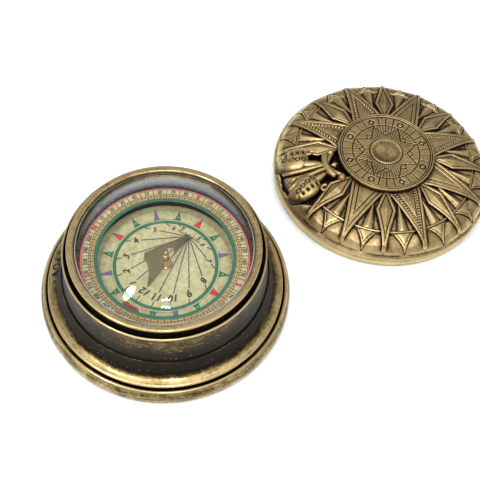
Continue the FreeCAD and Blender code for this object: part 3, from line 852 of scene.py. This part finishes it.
for k in range(16):
    angle = NOON + math.radians(22.5 * k)
    if k == 0:
        for side in (-1, 0, 1):
            place = polar(18.15 if side else 18.7, NOON) + side * 1.65 * polar(1.0, NOON + math.pi / 2)
            a = np.linspace(0, 2 * np.pi, 24, endpoint=False)
            lobe = np.stack([np.cos(a) * (1.15 if side else 0.8), np.sin(a) * (0.8 if side else 1.2)], 1)
            lobe = turned_plan(lobe, NOON)
            card_ink.append(slab(place + lobe * 1.12, z, z + 0.03, INK_BLACK))
            card_ink.append(slab(place + lobe, z, z + 0.045, INK_RED))
            card_ink.append(slab(place + lobe * 0.3, z, z + 0.06, (0.2, 0.02, 0.02)))
        continue
    kind, tint = (("plain", INK_RED), ("fir", INK_GREEN), ("slender", INK_VIOLET), ("fir", INK_GREEN))[k % 4]
    plan = point_plan(kind)
    card_ink.append(slab(turned_plan(grown(plan, 0.10), angle, SYMBOL_R), z, z + 0.04, INK_BLACK))
    card_ink.append(slab(turned_plan(plan, angle, SYMBOL_R), z, z + 0.055, tint))
    if kind == "fir":
        card_ink.append(slab(turned_plan(disc_plan(0.24, 12), angle, 18.0), z, z + 0.07, CARD_CREAM))
make_piece("card_paper", [sheet(CARD_HOLE, card_r, z, 300, CARD_CREAM)], "dial", paper,
           ["card_print"], smooth=False)
make_piece("card_ink", card_ink, "dial", ink, smooth=False)

# %% [markdown]
# ## Pivot cap
# The dial balances on a steel point inside a turned brass cap: a bright base ring, a bell, a narrow
# neck, a collar and a knob. It is another outline on the lathe, cut on the axis at its top and at
# the top of its bore.

# %% Pivot cap
cap_h = 7.8
cap_profile = trace([
    (0.0, z + 5.2), (1.0, z + 5.2), (1.0, z + 3.3), (1.2, z + 3.3), (1.2, z), (2.02, z),
    (2.02, z + 0.7, 2.1, z + 0.35), (1.75, z + 0.9), (1.47, z + cap_h * 0.38, 1.81, z + cap_h * 0.22),
    (0.9, z + cap_h * 0.60, 1.39, z + cap_h * 0.50),
    (0.8, z + cap_h * 0.68), (1.09, z + cap_h * 0.71), (1.09, z + cap_h * 0.76), (0.76, z + cap_h * 0.79),
    (0.98, z + 6.95, 1.0, z + cap_h * 0.84), (0.35, z + cap_h, 0.82, z + 7.6), (0.0, z + cap_h)],
    0.09, closed=False)
cap_inside = cap_profile[1:-1]
soft_cap = blur(cap_inside, 0.8, closed=False)
cap_outline = np.vstack([cap_profile[:1], soft_cap, cap_profile[-1:]])
make_piece("pivot_cap_turned", [lathe(cap_outline, 72)], "dial", bright_brass, ["pivot_cap"])

# %% [markdown]
# ## CAD pieces kept as they are
# The plates, rings, cups and bars, the gnomon and the steel pin are already right as CAD solids. They
# keep their meshes and get a finish.

# %% Finishes on CAD nodes
finishes = {
    "base_plate": case_brass, "crystal_seal": rubber, "inner_wall": polished_grey, "degree_tray": dark_metal,
    "well_cup": black_enamel, "pivot_boss": bright_brass, "pivot_pin": steel, "card_disc": board,
    "magnets": magnet_finish, "gnomon": gnomon_brass, "cap_jewel": jewel_glass, "lid_collar": lid_brass}
for name, material in finishes.items():
    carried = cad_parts[name]
    carried.data.materials.clear()
    carried.data.materials.append(material)
print("finished CAD nodes", len(finishes))

# %% [markdown]
# ## Lid shell
# The lid is one casting, a dome with a star in relief. Its surface is worked out as a wheel: rings of
# points at fixed radii, each point with its own height. The height is the plain dome plus relief that
# depends on radius and on the angle from the middle of one of sixteen sectors. The inside of the
# shell is the same wheel with a plain lower dome, so the whole thing is one closed skin.

# %% Lid dome and wheel
lid_side = 4.6
lid_rise = 8.3
RAY_ANGLES = [FLEUR + math.radians(45.0 * k) for k in range(1, 8)]
KITE_ANGLES = [FLEUR + math.radians(45.0 * (k + 0.5)) for k in range(8)]
sector = math.pi / 8.0


def dome(r):
    """Height of the plain dome: side wall plus rise times sqrt(1 - (r / edge) cubed)."""
    return lid_side + lid_rise * np.sqrt(np.clip(1.0 - (np.asarray(r) / (lid_r - 0.3)) ** 3, 0.0, 1.0))


MEDAL_EDGE = 16.9
RAY_END = 37.6
APRON_START = 35.8
APRON_WIDTH = 2.4
APRON_LOW = 4.95


def ground(r):
    """Height the relief stands on: the dome, then near the rim a straight apron if that is lower."""
    apron = dome(APRON_START) + (r - APRON_START) * (APRON_LOW - dome(APRON_START)) / APRON_WIDTH
    return np.where(r > APRON_START, np.minimum(apron, dome(r)), dome(r))


def wheel(radii, heights, hollow):
    """Closed skin from rings (radii (n,), heights (n, m)); the first and last ring shrink to poles."""
    n, m = heights.shape
    a = np.arange(m) * 2 * np.pi / m
    points = np.stack([radii[:, None] * np.cos(a), radii[:, None] * np.sin(a), heights], -1).reshape(-1, 3)
    points = np.vstack([points, [0, 0, heights[0].mean()], [0, 0, heights[-1].mean()]])
    values = np.r_[hollow.reshape(-1), hollow[0].mean(), hollow[-1].mean()]
    j = np.arange(m)
    faces = [grid_faces(n, m, wrap_columns=True), fan(n * m, j, flip=True), fan(n * m + 1, (n - 1) * m + j)]
    return part(points, faces, values)


def blur_grid(values, rows, columns, wrap=True):
    """Gaussian blur of a grid along its rows and its columns, widths in grid steps."""
    out = values
    for axis, width in ((0, rows), (1, columns)):
        reach, weight = bell(width)
        pad = [(0, 0), (0, 0)]
        pad[axis] = (reach, reach)
        padded = np.pad(out, pad, mode="wrap" if (axis == 1 and wrap) else "edge")
        total = np.zeros_like(out)
        for i, w in enumerate(weight):
            total += w * np.take(padded, np.arange(i, i + out.shape[axis]), axis)
        out = total
    return out


def long_width(r):
    """Half width of a long ray: straight from 6.0 at the medallion, then a slender ridge to the rim."""
    return np.interp(r, [15.4, 31.5, 34.5, 36.6, RAY_END], [6.0, 1.75, 1.1, 0.75, 0.3])


def kite_width(r):
    """Half width of a kite ray: opens to 3.4 a little way out, then closes to the tip."""
    return np.interp(r, [15.0, 23.6, 31.0, 34.5, 36.6, RAY_END], [0.15, 3.4, 1.55, 1.0, 0.7, 0.3])


def fleur_reach(r, turn):
    """How far inside the fleur-de-lis's sunk ground a point lies: positive inside, in mm."""
    across = np.abs(r * np.sin(turn))
    along = r * np.cos(turn)
    half = np.interp(along, [16.0, 18.0, 24.0, 31.0, 36.0, RAY_END], [8.2, 9.6, 10.4, 12.0, 8.0, 0.0])
    return np.where(along > 0, half - across, -10.0)


def turn_from(angle, centre):
    """Angle from a centre, brought into plus or minus half a turn."""
    return (angle - centre + np.pi) % (2 * np.pi) - np.pi


# %% [markdown]
# Between the rays the shell has a raised panel that ends in a thin bright lip, a dark gap, a small
# outlined triangle astride each sector's middle, and smooth pillows that run down to the rim. Each
# sector also has a slender ridge that widens outwards.

# %% Lid shell relief
columns = 880
radii_top = np.r_[6.0, 12.0, np.linspace(15.8, 30.6, 40), np.linspace(30.8, 32.2, 10),
                  np.linspace(32.5, 38.1, 22)]
angles = np.arange(columns) * 2 * np.pi / columns
R, A = np.meshgrid(radii_top, angles, indexing="ij")
middle = FLEUR + sector / 2.0
off = (A - middle + sector / 2.0) % sector - sector / 2.0
across = np.abs(R * np.sin(off))
panel = np.interp(R, [30.75, 30.95, 31.3, 31.5, 31.75], [0.0, 0.28, 0.30, -0.55, -0.55])
outer = np.interp(R, [31.75, 32.3, 34.0, 36.2, RAY_END], [-0.55, 0.0, 0.12, -0.05, -0.1])
relief = np.where(R < 31.75, panel, outer)
ridge_half = np.interp(R, [21.0, 30.6], [0.25, 1.75])
ridge = np.where((R > 21.5) & (R < 30.8), np.clip(1.0 - across / ridge_half, -0.35, 1.0), 0.0)
fade = np.clip((across - ridge_half * 1.35) / 0.4, 0.0, 1.0)
relief += np.where(ridge > 0, 0.62 * ridge, np.where((R > 21.5) & (R < 30.8), -0.18 * (1 - fade), 0.0))
tri_half = 3.65 * np.clip((37.4 - R) / 6.1, 0.0, 1.0) ** 1.45
edge = tri_half - across
tri = np.interp(edge, [-0.45, -0.1, 0.05, 0.5, 0.62, 0.8, 0.95, 1.6],
                [0.0, -0.45, 0.25, 0.45, 0.05, 0.05, 0.35, 0.55])
inside_tri = (R > 31.45) & (R < 37.4)
pillow_rise = relief + 0.35 * np.clip((-edge - 0.45) / 2.2, 0, 1)
relief = np.where(inside_tri, np.where(edge > -0.45, tri, pillow_rise), relief)
base_line = np.interp(R, [31.3, 31.6, 31.9], [0.0, 1.0, 0.0]) * (edge > 0)
relief -= 0.4 * base_line
ray_gap = np.full_like(R, 9.0)
for centre, width in [(a, long_width) for a in RAY_ANGLES] + [(a, kite_width) for a in KITE_ANGLES]:
    turn = turn_from(A, centre)
    gap = np.abs(R * np.sin(turn)) - width(R * np.cos(turn))
    ray_gap = np.minimum(ray_gap, np.where(np.cos(turn) > 0, gap, 9.0))
sunk = np.clip(fleur_reach(R, turn_from(A, FLEUR)) / 0.5, 0.0, 1.0)
relief = relief * (1 - sunk) - 0.95 * sunk
low_rim = np.interp(R, [37.2, 38.1], [1.0, 0.0])
top = ground(R) + relief * low_rim - 0.02
soft = blur_grid(relief, 1.6, 3.0)
beside_rays = np.exp(-np.clip(ray_gap, 0, None) / 0.5) * np.clip((37.2 - R) / 1.5, 0, 1)
depth = 2.3 * (soft - relief) + 0.95 * beside_rays + sunk
depth += 0.5 * np.exp(-np.clip(R - MEDAL_EDGE, 0, None) / 1.3)
# Rows under the rim: radius, height and darkness. Down the side wall the darkness falls towards the floor, a
# painted reflection of the floor; the rows inside the shell are darker.
underside = np.array([
    (lid_r - 0.08, 4.72, -0.2), (lid_r - 0.01, 4.52, -0.35), (lid_r - 0.06, 4.32, -0.2),
    (lid_r - 0.32, 4.05, 0.18), (lid_r - 0.42, 2.0, -0.25), (lid_r - 0.5, 0.3, -0.3),
    (lid_r - 0.8, 0.02, 0.4), (37.0, 0.02, 0.5), (36.9, 0.4, 0.5), (36.85, 3.9, 0.5),
    (36.2, 5.4, 0.4), (34.0, 7.1, 0.35), (30.0, 8.9, 0.3),
    (24.0, 10.4, 0.3), (16.0, 11.3, 0.3), (8.0, 11.75, 0.3)])
under_radii, under_height, under_patina_and_reflection = underside.T
heights = np.vstack([top, np.repeat(under_height[:, None], columns, 1)])
depth = np.clip(np.vstack([depth, np.repeat(under_patina_and_reflection[:, None], columns, 1)]), -0.3, 1.3)
shell_part = wheel(np.r_[radii_top, under_radii], heights, depth)


def lid_piece(name, parts, node_name):
    """A cast piece of the lid: its parts are drawn round the lid's own axis and moved to its place."""
    make_piece(name, parts, "lid", lid_brass, [node_name], (lid_x, lid_y, 0.0))


lid_piece("lid_dome", [shell_part], "lid_shell")

# %% [markdown]
# ## Rays
# A ray is a blade: a grid with one direction along the ray and one across it. Its height above the
# dome depends on the distance in from its own edge, which gives a raised border, a groove, an inner
# band and an inner triangle that all run parallel to the sides. Where the ray gets narrow, the inner
# steps run out and the two borders meet in one bright ridge. The long rays differ in their inner
# band: plain, a ladder of small cuts, or a row of dots.

# %% Blades
def blade(angle, start, end, width, height, rows=110, across=61, sink=0.7):
    """Closed blade on the dome from start to end along a direction; height(inset, along) is relief."""
    along = np.linspace(start, end, rows)
    v = np.linspace(-1.0, 1.0, across)
    half = np.maximum(width(along), 0.04)
    U, V = np.meshgrid(along, v, indexing="ij")
    S = half[:, None] * V
    inset = half[:, None] * (1.0 - np.abs(V))
    lift = height(inset, U)
    r = np.hypot(U, S)
    c, s = math.cos(angle), math.sin(angle)
    x, y = U * c - S * s, U * s + S * c
    grid = np.stack([x, y, ground(r) + lift], -1)
    low = np.stack([x, y, ground(r) - sink], -1)
    points = np.vstack([grid.reshape(-1, 3), low[:, 0], low[:, -1]])
    n, m = rows, across
    left = n * m + np.arange(n)
    right = n * m + n + np.arange(n)
    i = np.arange(n - 1)
    faces = [grid_faces(n, m)[:, ::-1],
             np.stack([i * m, (i + 1) * m, left[1:], left[:-1]], 1)[:, ::-1],
             np.stack([i * m + m - 1, right[:-1], right[1:], (i + 1) * m + m - 1], 1)[:, ::-1],
             np.stack([left[:-1], left[1:], right[1:], right[:-1]], 1)[:, ::-1],
             np.r_[np.arange(m)[::-1], left[0], right[0]][None, :][:, ::-1],
             np.r_[(n - 1) * m + np.arange(m), right[-1], left[-1]][None, :][:, ::-1]]
    soft = blur_grid(lift, 1.5, 1.8, wrap=False)
    depth = 3.4 * (soft - lift) + 0.6 * np.exp(-inset / 0.12) * (half[:, None] > 0.9)
    depth += 0.7 * np.exp(-np.clip(r - MEDAL_EDGE, 0.0, None) / 0.7)
    depth = np.r_[np.clip(depth, -0.3, 1.1).reshape(-1), np.full(2 * n, 0.8)]
    return part(points, faces, depth)


def long_height(pattern):
    """Relief of a long ray: border, groove, patterned band, groove, inner triangle with a soft crest."""
    def height(inset, along):
        lift = np.interp(inset, [0.0, 0.18, 0.5, 1.0, 1.12, 1.32, 1.45, 2.5, 2.62, 2.82, 2.95, 5.0],
                         [0.25, 0.85, 0.95, 0.90, 0.42, 0.42, 0.74, 0.74, 0.36, 0.36, 0.72, 1.0])
        in_band = (inset > 1.5) & (inset < 2.45)
        if pattern == "ladder":
            rung = np.abs((along / 0.95) % 1.0 - 0.5) * 2.0
            lift = lift - np.where(in_band, 0.34 * np.clip((0.55 - rung) / 0.2, 0, 1), 0.0)
        if pattern == "dots":
            u = ((along / 1.15) % 1.0 - 0.5) * 1.15
            dot = np.clip(1.0 - (u ** 2 + (inset - 1.98) ** 2) / 0.16, 0.0, 1.0)
            lift = np.where(in_band, lift - 0.25 + 0.5 * np.sqrt(dot), lift)
        end = np.clip((RAY_END - along) / 0.9, 0.0, 1.0)
        return lift * (0.2 + 0.8 * end) * np.clip(0.55 + 0.45 * (along - 15.0) / 4.0, 0.55, 1.0)
    return height


def kite_height(inset, along):
    """Relief of a kite ray: broad border, groove, inner kite folded along its middle."""
    lift = np.interp(inset, [0.0, 0.16, 0.45, 0.95, 1.06, 1.26, 1.38, 3.4],
                     [0.2, 0.80, 0.92, 0.86, 0.35, 0.35, 0.62, 1.25])
    return lift * (0.2 + 0.8 * np.clip((RAY_END - along) / 0.9, 0.0, 1.0))


patterns = ["plain", "ladder", "plain", "ladder", "plain", "dots", "dots"]
long_parts = [blade(a, 15.6, 37.5, long_width, long_height(p), 120, 71) for a, p in zip(RAY_ANGLES, patterns)]
lid_piece("long_rays_cast", long_parts, "long_rays")
kite_parts = [blade(angle, 16.6, 37.5, kite_width, kite_height, 90, 41) for angle in KITE_ANGLES]
lid_piece("kite_rays_cast", kite_parts, "kite_rays")

# %% [markdown]
# ## Medallion
# The medallion is an engraved disc on the crown. It is a wheel too: a double rim, an outer band with
# thirty-two radial lines and eight small signs, an engraved eight-point star, and a dished hub with
# fine ribs. An engraved line is a groove whose depth falls off with the distance to the line.

# %% Medallion relief
medal_top = top_of("lid_medallion")
SIGN_R = 13.6
m_columns = 768
m_radii = np.r_[0.4, np.linspace(0.8, 5.0, 12), np.linspace(5.15, 6.2, 6), np.linspace(6.4, 15.2, 50),
                np.linspace(15.3, medal_r - 0.05, 14)]
m_angles = np.arange(m_columns) * 2 * np.pi / m_columns
MR, MA = np.meshgrid(m_radii, m_angles, indexing="ij")
MX, MY = MR * np.cos(MA), MR * np.sin(MA)


def engraved(cut, distance, width, depth, where=1.0):
    """The deeper of what is cut already and a groove that fades with the distance from its middle."""
    return np.maximum(cut, depth * np.exp(-(distance / width) ** 2) * where)


def spoke_distance(r, angle, count, start=0.0):
    """Distance to the nearest of count evenly spaced radial lines."""
    step = 2 * np.pi / count
    return np.abs(r * np.sin((angle - start + step / 2) % step - step / 2))


def segment_distance(x, y, a, b):
    """Distance from points to the straight segment a-b in plan."""
    ax, ay = a
    dx, dy = b[0] - ax, b[1] - ay
    t = np.clip(((x - ax) * dx + (y - ay) * dy) / (dx * dx + dy * dy), 0.0, 1.0)
    return np.hypot(x - ax - t * dx, y - ay - t * dy)


cut = np.zeros_like(MR)
band_mask = (MR > 11.95) & (MR < 15.3)
cut = engraved(cut, spoke_distance(MR, MA, 32), 0.13, 0.22, band_mask)
inner_mask = (MR > 6.2) & (MR < 11.6)
cut = engraved(cut, spoke_distance(MR, MA, 64), 0.10, 0.14, inner_mask)
for radius in (5.75, 11.75, 15.45, 16.1):
    cut = engraved(cut, np.abs(MR - radius), 0.14, 0.26)
for k in range(8):
    ray = FLEUR + k * math.pi / 4
    tip, inner = polar(11.4, ray), polar(6.3, ray)
    for side in (-1, 1):
        notch = polar(7.3, ray + side * math.pi / 8)
        small = polar(9.6, FLEUR + (k + 0.5) * math.pi / 4)
        foot_of_small = polar(8.2, FLEUR + (k + 0.5 + side * 0.22) * math.pi / 4)
        cut = engraved(cut, segment_distance(MX, MY, tip, notch), 0.15, 0.26)
        cut = engraved(cut, segment_distance(MX, MY, small, foot_of_small), 0.13, 0.2)
        cut = engraved(cut, segment_distance(MX, MY, tip * 0.86, inner), 0.11, 0.16)
for k in range(8):
    ray = FLEUR + k * math.pi / 4
    centre = polar(SIGN_R, ray)
    out_dir, side_dir = polar(1.0, ray), polar(1.0, ray + math.pi / 2)
    a, b = centre + 1.15 * out_dir, centre - 1.15 * out_dir
    c, d = centre + 0.9 * side_dir, centre - 0.9 * side_dir
    away = np.hypot(MX - centre[0], MY - centre[1])
    cut = np.where(band_mask, cut * np.clip((away - 1.4) / 0.3, 0.0, 1.0), cut)
    if k % 2:
        sign = np.abs(away - 0.95)
    else:
        sides = ((a, c), (c, b), (b, d), (d, a))
        sign = np.minimum.reduce([segment_distance(MX, MY, p, q) for p, q in sides])
    cut = engraved(cut, sign, 0.20, 0.28)
field = np.interp(MR, [0.0, 4.2, 5.0, 5.5, 5.9, 15.2, 15.6, 16.5, 16.85],
                  [-0.62, -0.30, -0.05, -0.02, -0.28, -0.28, -0.02, 0.0, -0.12])
ribs = 0.10 * np.clip(MR / 5.0, 0.15, 1.0) * (0.5 + 0.5 * np.cos(48 * MA)) * (MR < 5.3)
m_relief = field - cut - ribs
m_top = medal_top + m_relief
m_soft = blur_grid(m_relief, 1.8, 3.5)
m_depth = 3.4 * (m_soft - m_relief) + 2.4 * cut + 2.5 * ribs
medal_side = np.array([
    (medal_r, medal_top - 0.3, 0.0), (medal_r, 11.9, 0.9), (medal_r - 0.3, 11.8, 0.9), (8.0, 11.8, 0.9)])
low_radii, low_height, low_depth = medal_side.T
m_heights = np.vstack([m_top, np.repeat(low_height[:, None], m_columns, 1)])
m_depth = np.clip(np.vstack([m_depth, np.repeat(low_depth[:, None], m_columns, 1)]), -0.3, 1.2)
medal_part = wheel(np.r_[m_radii, low_radii], m_heights, m_depth)
lid_piece("medallion_cast", [medal_part], "lid_medallion")

# %% [markdown]
# ## Fleur-de-lis
# One long ray is replaced by a fleur-de-lis in higher relief on black ground: two rounded petals with
# beads and small ringed eyes, each with a curl at its inner end, two ribs that flare to a crown, a
# cross band and two scrolls. Petals are pillows on an outline; ribs, curls and scrolls are round bars
# swept along a path, with their ends closed.

# %% Pillows and bars
def pillow(centre, turn, outline, rise, base=-0.9, rings=14, dents=None):
    """Domed pad: at share u of the way to the outline the height is rise * sqrt(1 - u^2.6)."""
    m = len(outline)
    u = np.linspace(0.06, 1.0, rings)
    x, y = u[:, None] * outline[:, 0], u[:, None] * outline[:, 1]
    lift = rise * np.sqrt(np.clip(1.0 - u ** 2.6, 0.0, 1.0))[:, None] * np.ones((1, m))
    depth = 0.55 * np.clip(u - 0.82, 0, 1)[:, None] / 0.18 * np.ones((1, m)) - 0.1
    if dents is not None:
        cut, dark = dents(x, y)
        lift, depth = lift - cut, depth + dark
    c, s = math.cos(turn), math.sin(turn)
    px, py = centre[0] + x * c - y * s, centre[1] + x * s + y * c
    z_top = dome(np.hypot(px, py)) + lift
    bx, by = px[-1], py[-1]
    grid = np.stack([px, py, z_top], -1).reshape(-1, 3)
    floor = np.stack([bx, by, dome(np.hypot(bx, by)) + base], 1)
    points = np.vstack([grid, floor, [[px[0].mean(), py[0].mean(), z_top[0].mean()]],
                        [[bx.mean(), by.mean(), dome(math.hypot(bx.mean(), by.mean())) + base]]])
    j = np.arange(m)
    k = (j + 1) % m
    start = (rings - 1) * m
    faces = [grid_faces(rings, m, wrap_columns=True),
             np.stack([start + j, start + k, rings * m + k, rings * m + j], 1),
             fan(len(points) - 2, j, flip=True), fan(len(points) - 1, rings * m + j)]
    values = np.r_[depth.reshape(-1), np.full(m, 1.0), 0.0, 1.0]
    return part(points, faces, np.clip(values, -0.3, 1.2))


def bar(path, radius, lift=0.5, sides=14):
    """Round bar along plan points on the dome: rings square to the path, ends shrunk to points."""
    path = np.asarray(path, float)
    run = np.linspace(0, 1, 60)
    way = np.linspace(0, 1, len(path))
    x, y = np.interp(run, way, path[:, 0]), np.interp(run, way, path[:, 1])
    xy = blur(np.stack([x, y], 1), 2.0, closed=False)
    size = np.interp(run, np.linspace(0, 1, len(radius)), radius)
    size = size * np.sqrt(np.clip(1.0 - (2 * np.abs(run - 0.5)) ** 14, 0.02, 1.0))
    centre = np.stack([xy[:, 0], xy[:, 1], dome(np.hypot(xy[:, 0], xy[:, 1])) + lift], 1)
    tangent = np.gradient(centre, axis=0)
    tangent /= np.linalg.norm(tangent, axis=1, keepdims=True)
    side = np.cross(tangent, [0.0, 0.0, 1.0])
    side /= np.linalg.norm(side, axis=1, keepdims=True)
    up = np.cross(side, tangent)
    a = np.arange(sides) * 2 * np.pi / sides
    ring = side[:, None] * np.cos(a)[:, None] + up[:, None] * np.sin(a)[:, None]
    points = (centre[:, None] + ring * size[:, None, None]).reshape(-1, 3)
    count = len(run)
    points = np.vstack([points, centre[:1], centre[-1:]])
    depth = np.tile(0.75 * np.clip(-np.sin(a) + 0.1, 0.0, 1.0) - 0.12, count)
    j = np.arange(sides)
    last = count * sides
    faces = [grid_faces(count, sides, wrap_columns=True), fan(last, j, flip=True),
             fan(last + 1, last - sides + j)]
    return part(points, faces, np.r_[depth, 0.0, 0.0])


def on_fleur(along, across):
    """Plan point from a distance along the fleur's axis and a distance across it."""
    return polar(1.0, FLEUR) * along + polar(1.0, FLEUR + math.pi / 2) * across


def fleur_bar(spots, side, radius, lift, sides=14):
    """A bar through (along, across) spots of the fleur, mirrored when side is -1."""
    return bar([on_fleur(along, side * across) for along, across in spots], radius, lift, sides)


# %% Fleur-de-lis parts
fleur_parts = []
a = np.linspace(0, 2 * np.pi, 88, endpoint=False)
for side in (-1, 1):
    lean = FLEUR + side * math.radians(14.0)
    petal = np.stack([5.7 * np.cos(a) + 0.5 * np.cos(2 * a), 4.75 * np.sin(a)], 1)

    def carving(x, y, side=side):
        """Cuts in a petal: four ringed eyes along its middle and the gaps between a row of beads."""
        cut, dark = np.zeros_like(x), np.zeros_like(x)
        for i in range(4):
            d = np.hypot(x + 3.0 - 2.1 * i, y + side * (0.9 - 0.12 * i * i))
            cut += 0.28 * np.exp(-((d - 0.72) / 0.22) ** 2) + 0.25 * np.exp(-(d / 0.22) ** 2)
            dark += 0.70 * np.exp(-((d - 0.72) / 0.20) ** 2) + 0.7 * np.exp(-(d / 0.2) ** 2)
        row = np.exp(-((y - side * 1.9) / 0.75) ** 2) * np.clip((4.6 - np.abs(x)) / 0.6, 0, 1)
        wave = 0.5 - 0.5 * np.cos(2 * np.pi * (x + 0.3) / 1.9)
        return cut + 0.50 * row * wave, dark + 0.9 * row * wave ** 2

    fleur_parts.append(pillow(on_fleur(31.2, side * 5.9 - 1.3), lean, petal, 3.0, rings=44, dents=carving))
    t = np.linspace(0.0, 1.0, 26)
    start = FLEUR + side * math.radians(150.0)
    turn = start - side * 5.2 * t
    swirl = np.stack([(0.3 + 1.2 * t) * np.cos(turn), (0.3 + 1.2 * t) * np.sin(turn)], 1)
    fleur_parts.append(bar(on_fleur(26.0, side * 8.2) + swirl, [0.36, 0.48, 0.6], 1.75))
    fleur_parts.append(fleur_bar([(22.6, 1.9), (25.5, 2.9), (29.0, 4.2)], side, [0.6, 1.25, 1.6], 0.7))
    fleur_parts.append(fleur_bar([(22.2, 0.75), (26.0, 0.95), (30.5, 1.5), (34.0, 2.3), (36.8, 3.5)], side,
                                 [0.6, 0.7, 0.7, 0.66, 0.5], 1.7))
    fleur_parts.append(fleur_bar([(21.6, 1.2), (19.8, 3.4), (18.2, 5.0)], side, [0.6, 0.7, 0.7], 1.2))
    ball = np.stack([np.cos(a), np.sin(a)], 1) * 1.55
    fleur_parts.append(pillow(on_fleur(18.7, side * 5.5), FLEUR, ball, 2.2, rings=12))
cross_band = [(20.9, -5.2), (22.0, -2.7), (22.5, 0.0), (22.0, 2.7), (20.9, 5.2)]
fleur_parts.append(fleur_bar(cross_band, 1, [1.0, 1.15, 1.15, 1.15, 1.0], 1.9, 18))


def filled_out(corners, count):
    """More points along the sides of a closed outline, evenly by corner."""
    corners = np.asarray(corners, float)
    t = np.linspace(0, len(corners), count, endpoint=False)
    knots = np.arange(len(corners) + 1)
    return np.stack([np.interp(t, knots, np.r_[corners[:, i], corners[0, i]]) for i in (0, 1)], 1)


leaf = filled_out([(5.4, 0.0), (5.0, 2.6), (1.6, 1.6), (-4.0, 0.8), (-8.4, 0.5), (-8.4, -0.5), (-4.0, -0.8),
                   (1.6, -1.6), (5.0, -2.6)], 72)
fleur_parts.append(pillow(on_fleur(31.4, 0.0), FLEUR, leaf, 0.9, rings=10))
crown_tab = filled_out([(1.7, 0.0), (0.9, 1.5), (-1.3, 0.7), (-1.8, 0.0), (-1.3, -0.7), (0.9, -1.5)], 48)
fleur_parts.append(pillow(on_fleur(34.2, 0.0), FLEUR, crown_tab, 1.9, rings=10))
stub = filled_out([(1.9, 0.0), (0.0, 1.3), (-1.7, 0.0), (0.0, -1.3)], 32)
fleur_parts.append(pillow(on_fleur(19.3, 0.0), FLEUR, stub, 1.9, rings=10))
lid_piece("fleur_cast", fleur_parts, "lid_fleur")

# %% [markdown]
# ## Studio
# The object lies on a pale floor under one big soft light, with a room to mirror. Polished metal shows
# the room more than its own colour, so the room is grey at the sides and bright only overhead. Three
# small lights stand where the crystal mirrors them as an oval window and two bars.

# %% Floor and lights
floor_mesh = bpy.data.meshes.new("floor")
floor_mesh.from_pydata([(-3, -3, 0), (3, -3, 0), (3, 3, 0), (-3, 3, 0)], [], [(0, 1, 2, 3)])
floor = add_object("floor", floor_mesh)
floor_white, tree, shader = new_material("floor_white")
shader.inputs["Base Color"].default_value = (0.86, 0.92, 0.925, 1.0)
shader.inputs["Roughness"].default_value = 0.9
shader.inputs["Specular IOR Level"].default_value = 0.0
floor_mesh.materials.append(floor_white)


def area_light(name, place, aim, size, power, shape="RECTANGLE"):
    """A soft light of a given size (m) at a place, turned so that it faces the point it aims at."""
    data = bpy.data.lights.new(name, "AREA")
    data.shape = shape
    data.size, data.size_y = size
    data.energy = power
    light = add_object(name, data)
    light.location = place
    away = np.array(place) - np.array(aim)
    light.rotation_euler = mathutils.Vector(away).to_track_quat("Z", "Y").to_euler()
    return light


between = (0.03, 0.025, 0.01)
lights = [
    area_light("key_softbox", (0.05, 0.10, 0.85), between, (0.9, 0.9), 5.3),
    area_light("window_glint", (-0.204, -0.217, 0.318), (0, 0, 0.03), (0.055, 0.12), 0.5, shape="ELLIPSE"),
    area_light("bar_glint_high", (0.035, -0.261, 0.349), (0, 0, 0.03), (0.062, 0.018), 0.2),
    area_light("bar_glint_low", (0.037, -0.297, 0.320), (0, 0, 0.03), (0.062, 0.018), 0.2),
]
lights[0].visible_glossy = False
room = bpy.data.worlds.new("room")
room.use_nodes = True
bpy.context.scene.world = room
sky = room.node_tree
sky.nodes.clear()
where = sky.nodes.new("ShaderNodeTexCoord")
towards = sky.nodes.new("ShaderNodeVectorMath")
towards.operation = "DOT_PRODUCT"
sky.links.new(where.outputs["Generated"], towards.inputs[0])
towards.inputs[1].default_value = (0.0, -0.26, 0.966)
ROOM = [(0.0, (0.30, 0.31, 0.32)), (0.3, (0.26, 0.26, 0.27)), (0.6, (0.52, 0.52, 0.52)),
        (0.78, (0.56, 0.56, 0.56)), (0.92, (1.3, 1.3, 1.28)), (1.0, (1.45, 1.45, 1.43))]
shade = ramp(sky, towards.outputs["Value"], ROOM)
glow = node(sky, "ShaderNodeBackground", Color=shade, Strength=1.0)
out = sky.nodes.new("ShaderNodeOutputWorld")
sky.links.new(glow.outputs[0], out.inputs[0])

# %% [markdown]
# ## Camera
# The camera looks down at 57 degrees from the front with a slight roll. A camera looks along its own
# minus Z axis, so it starts out looking straight down and is tipped up by what is left of 90 degrees.

# %% Camera
lens = bpy.data.cameras.new("camera")
lens.lens = 63.75
lens.sensor_width = 36.0
camera = add_object("camera", lens)
pitch, roll = math.radians(57.015), math.radians(5.506)
look = mathutils.Matrix.Rotation(math.pi / 2 - pitch, 4, "X") @ mathutils.Matrix.Rotation(roll, 4, "Z")
camera.matrix_world = mathutils.Matrix.Translation((0.02227, -0.13598, 0.24287)) @ look
bpy.context.scene.camera = camera
bpy.context.scene.view_settings.view_transform = "Standard"
print("camera X axis", [round(v, 4) for v in camera.matrix_world.col[0][:3]])
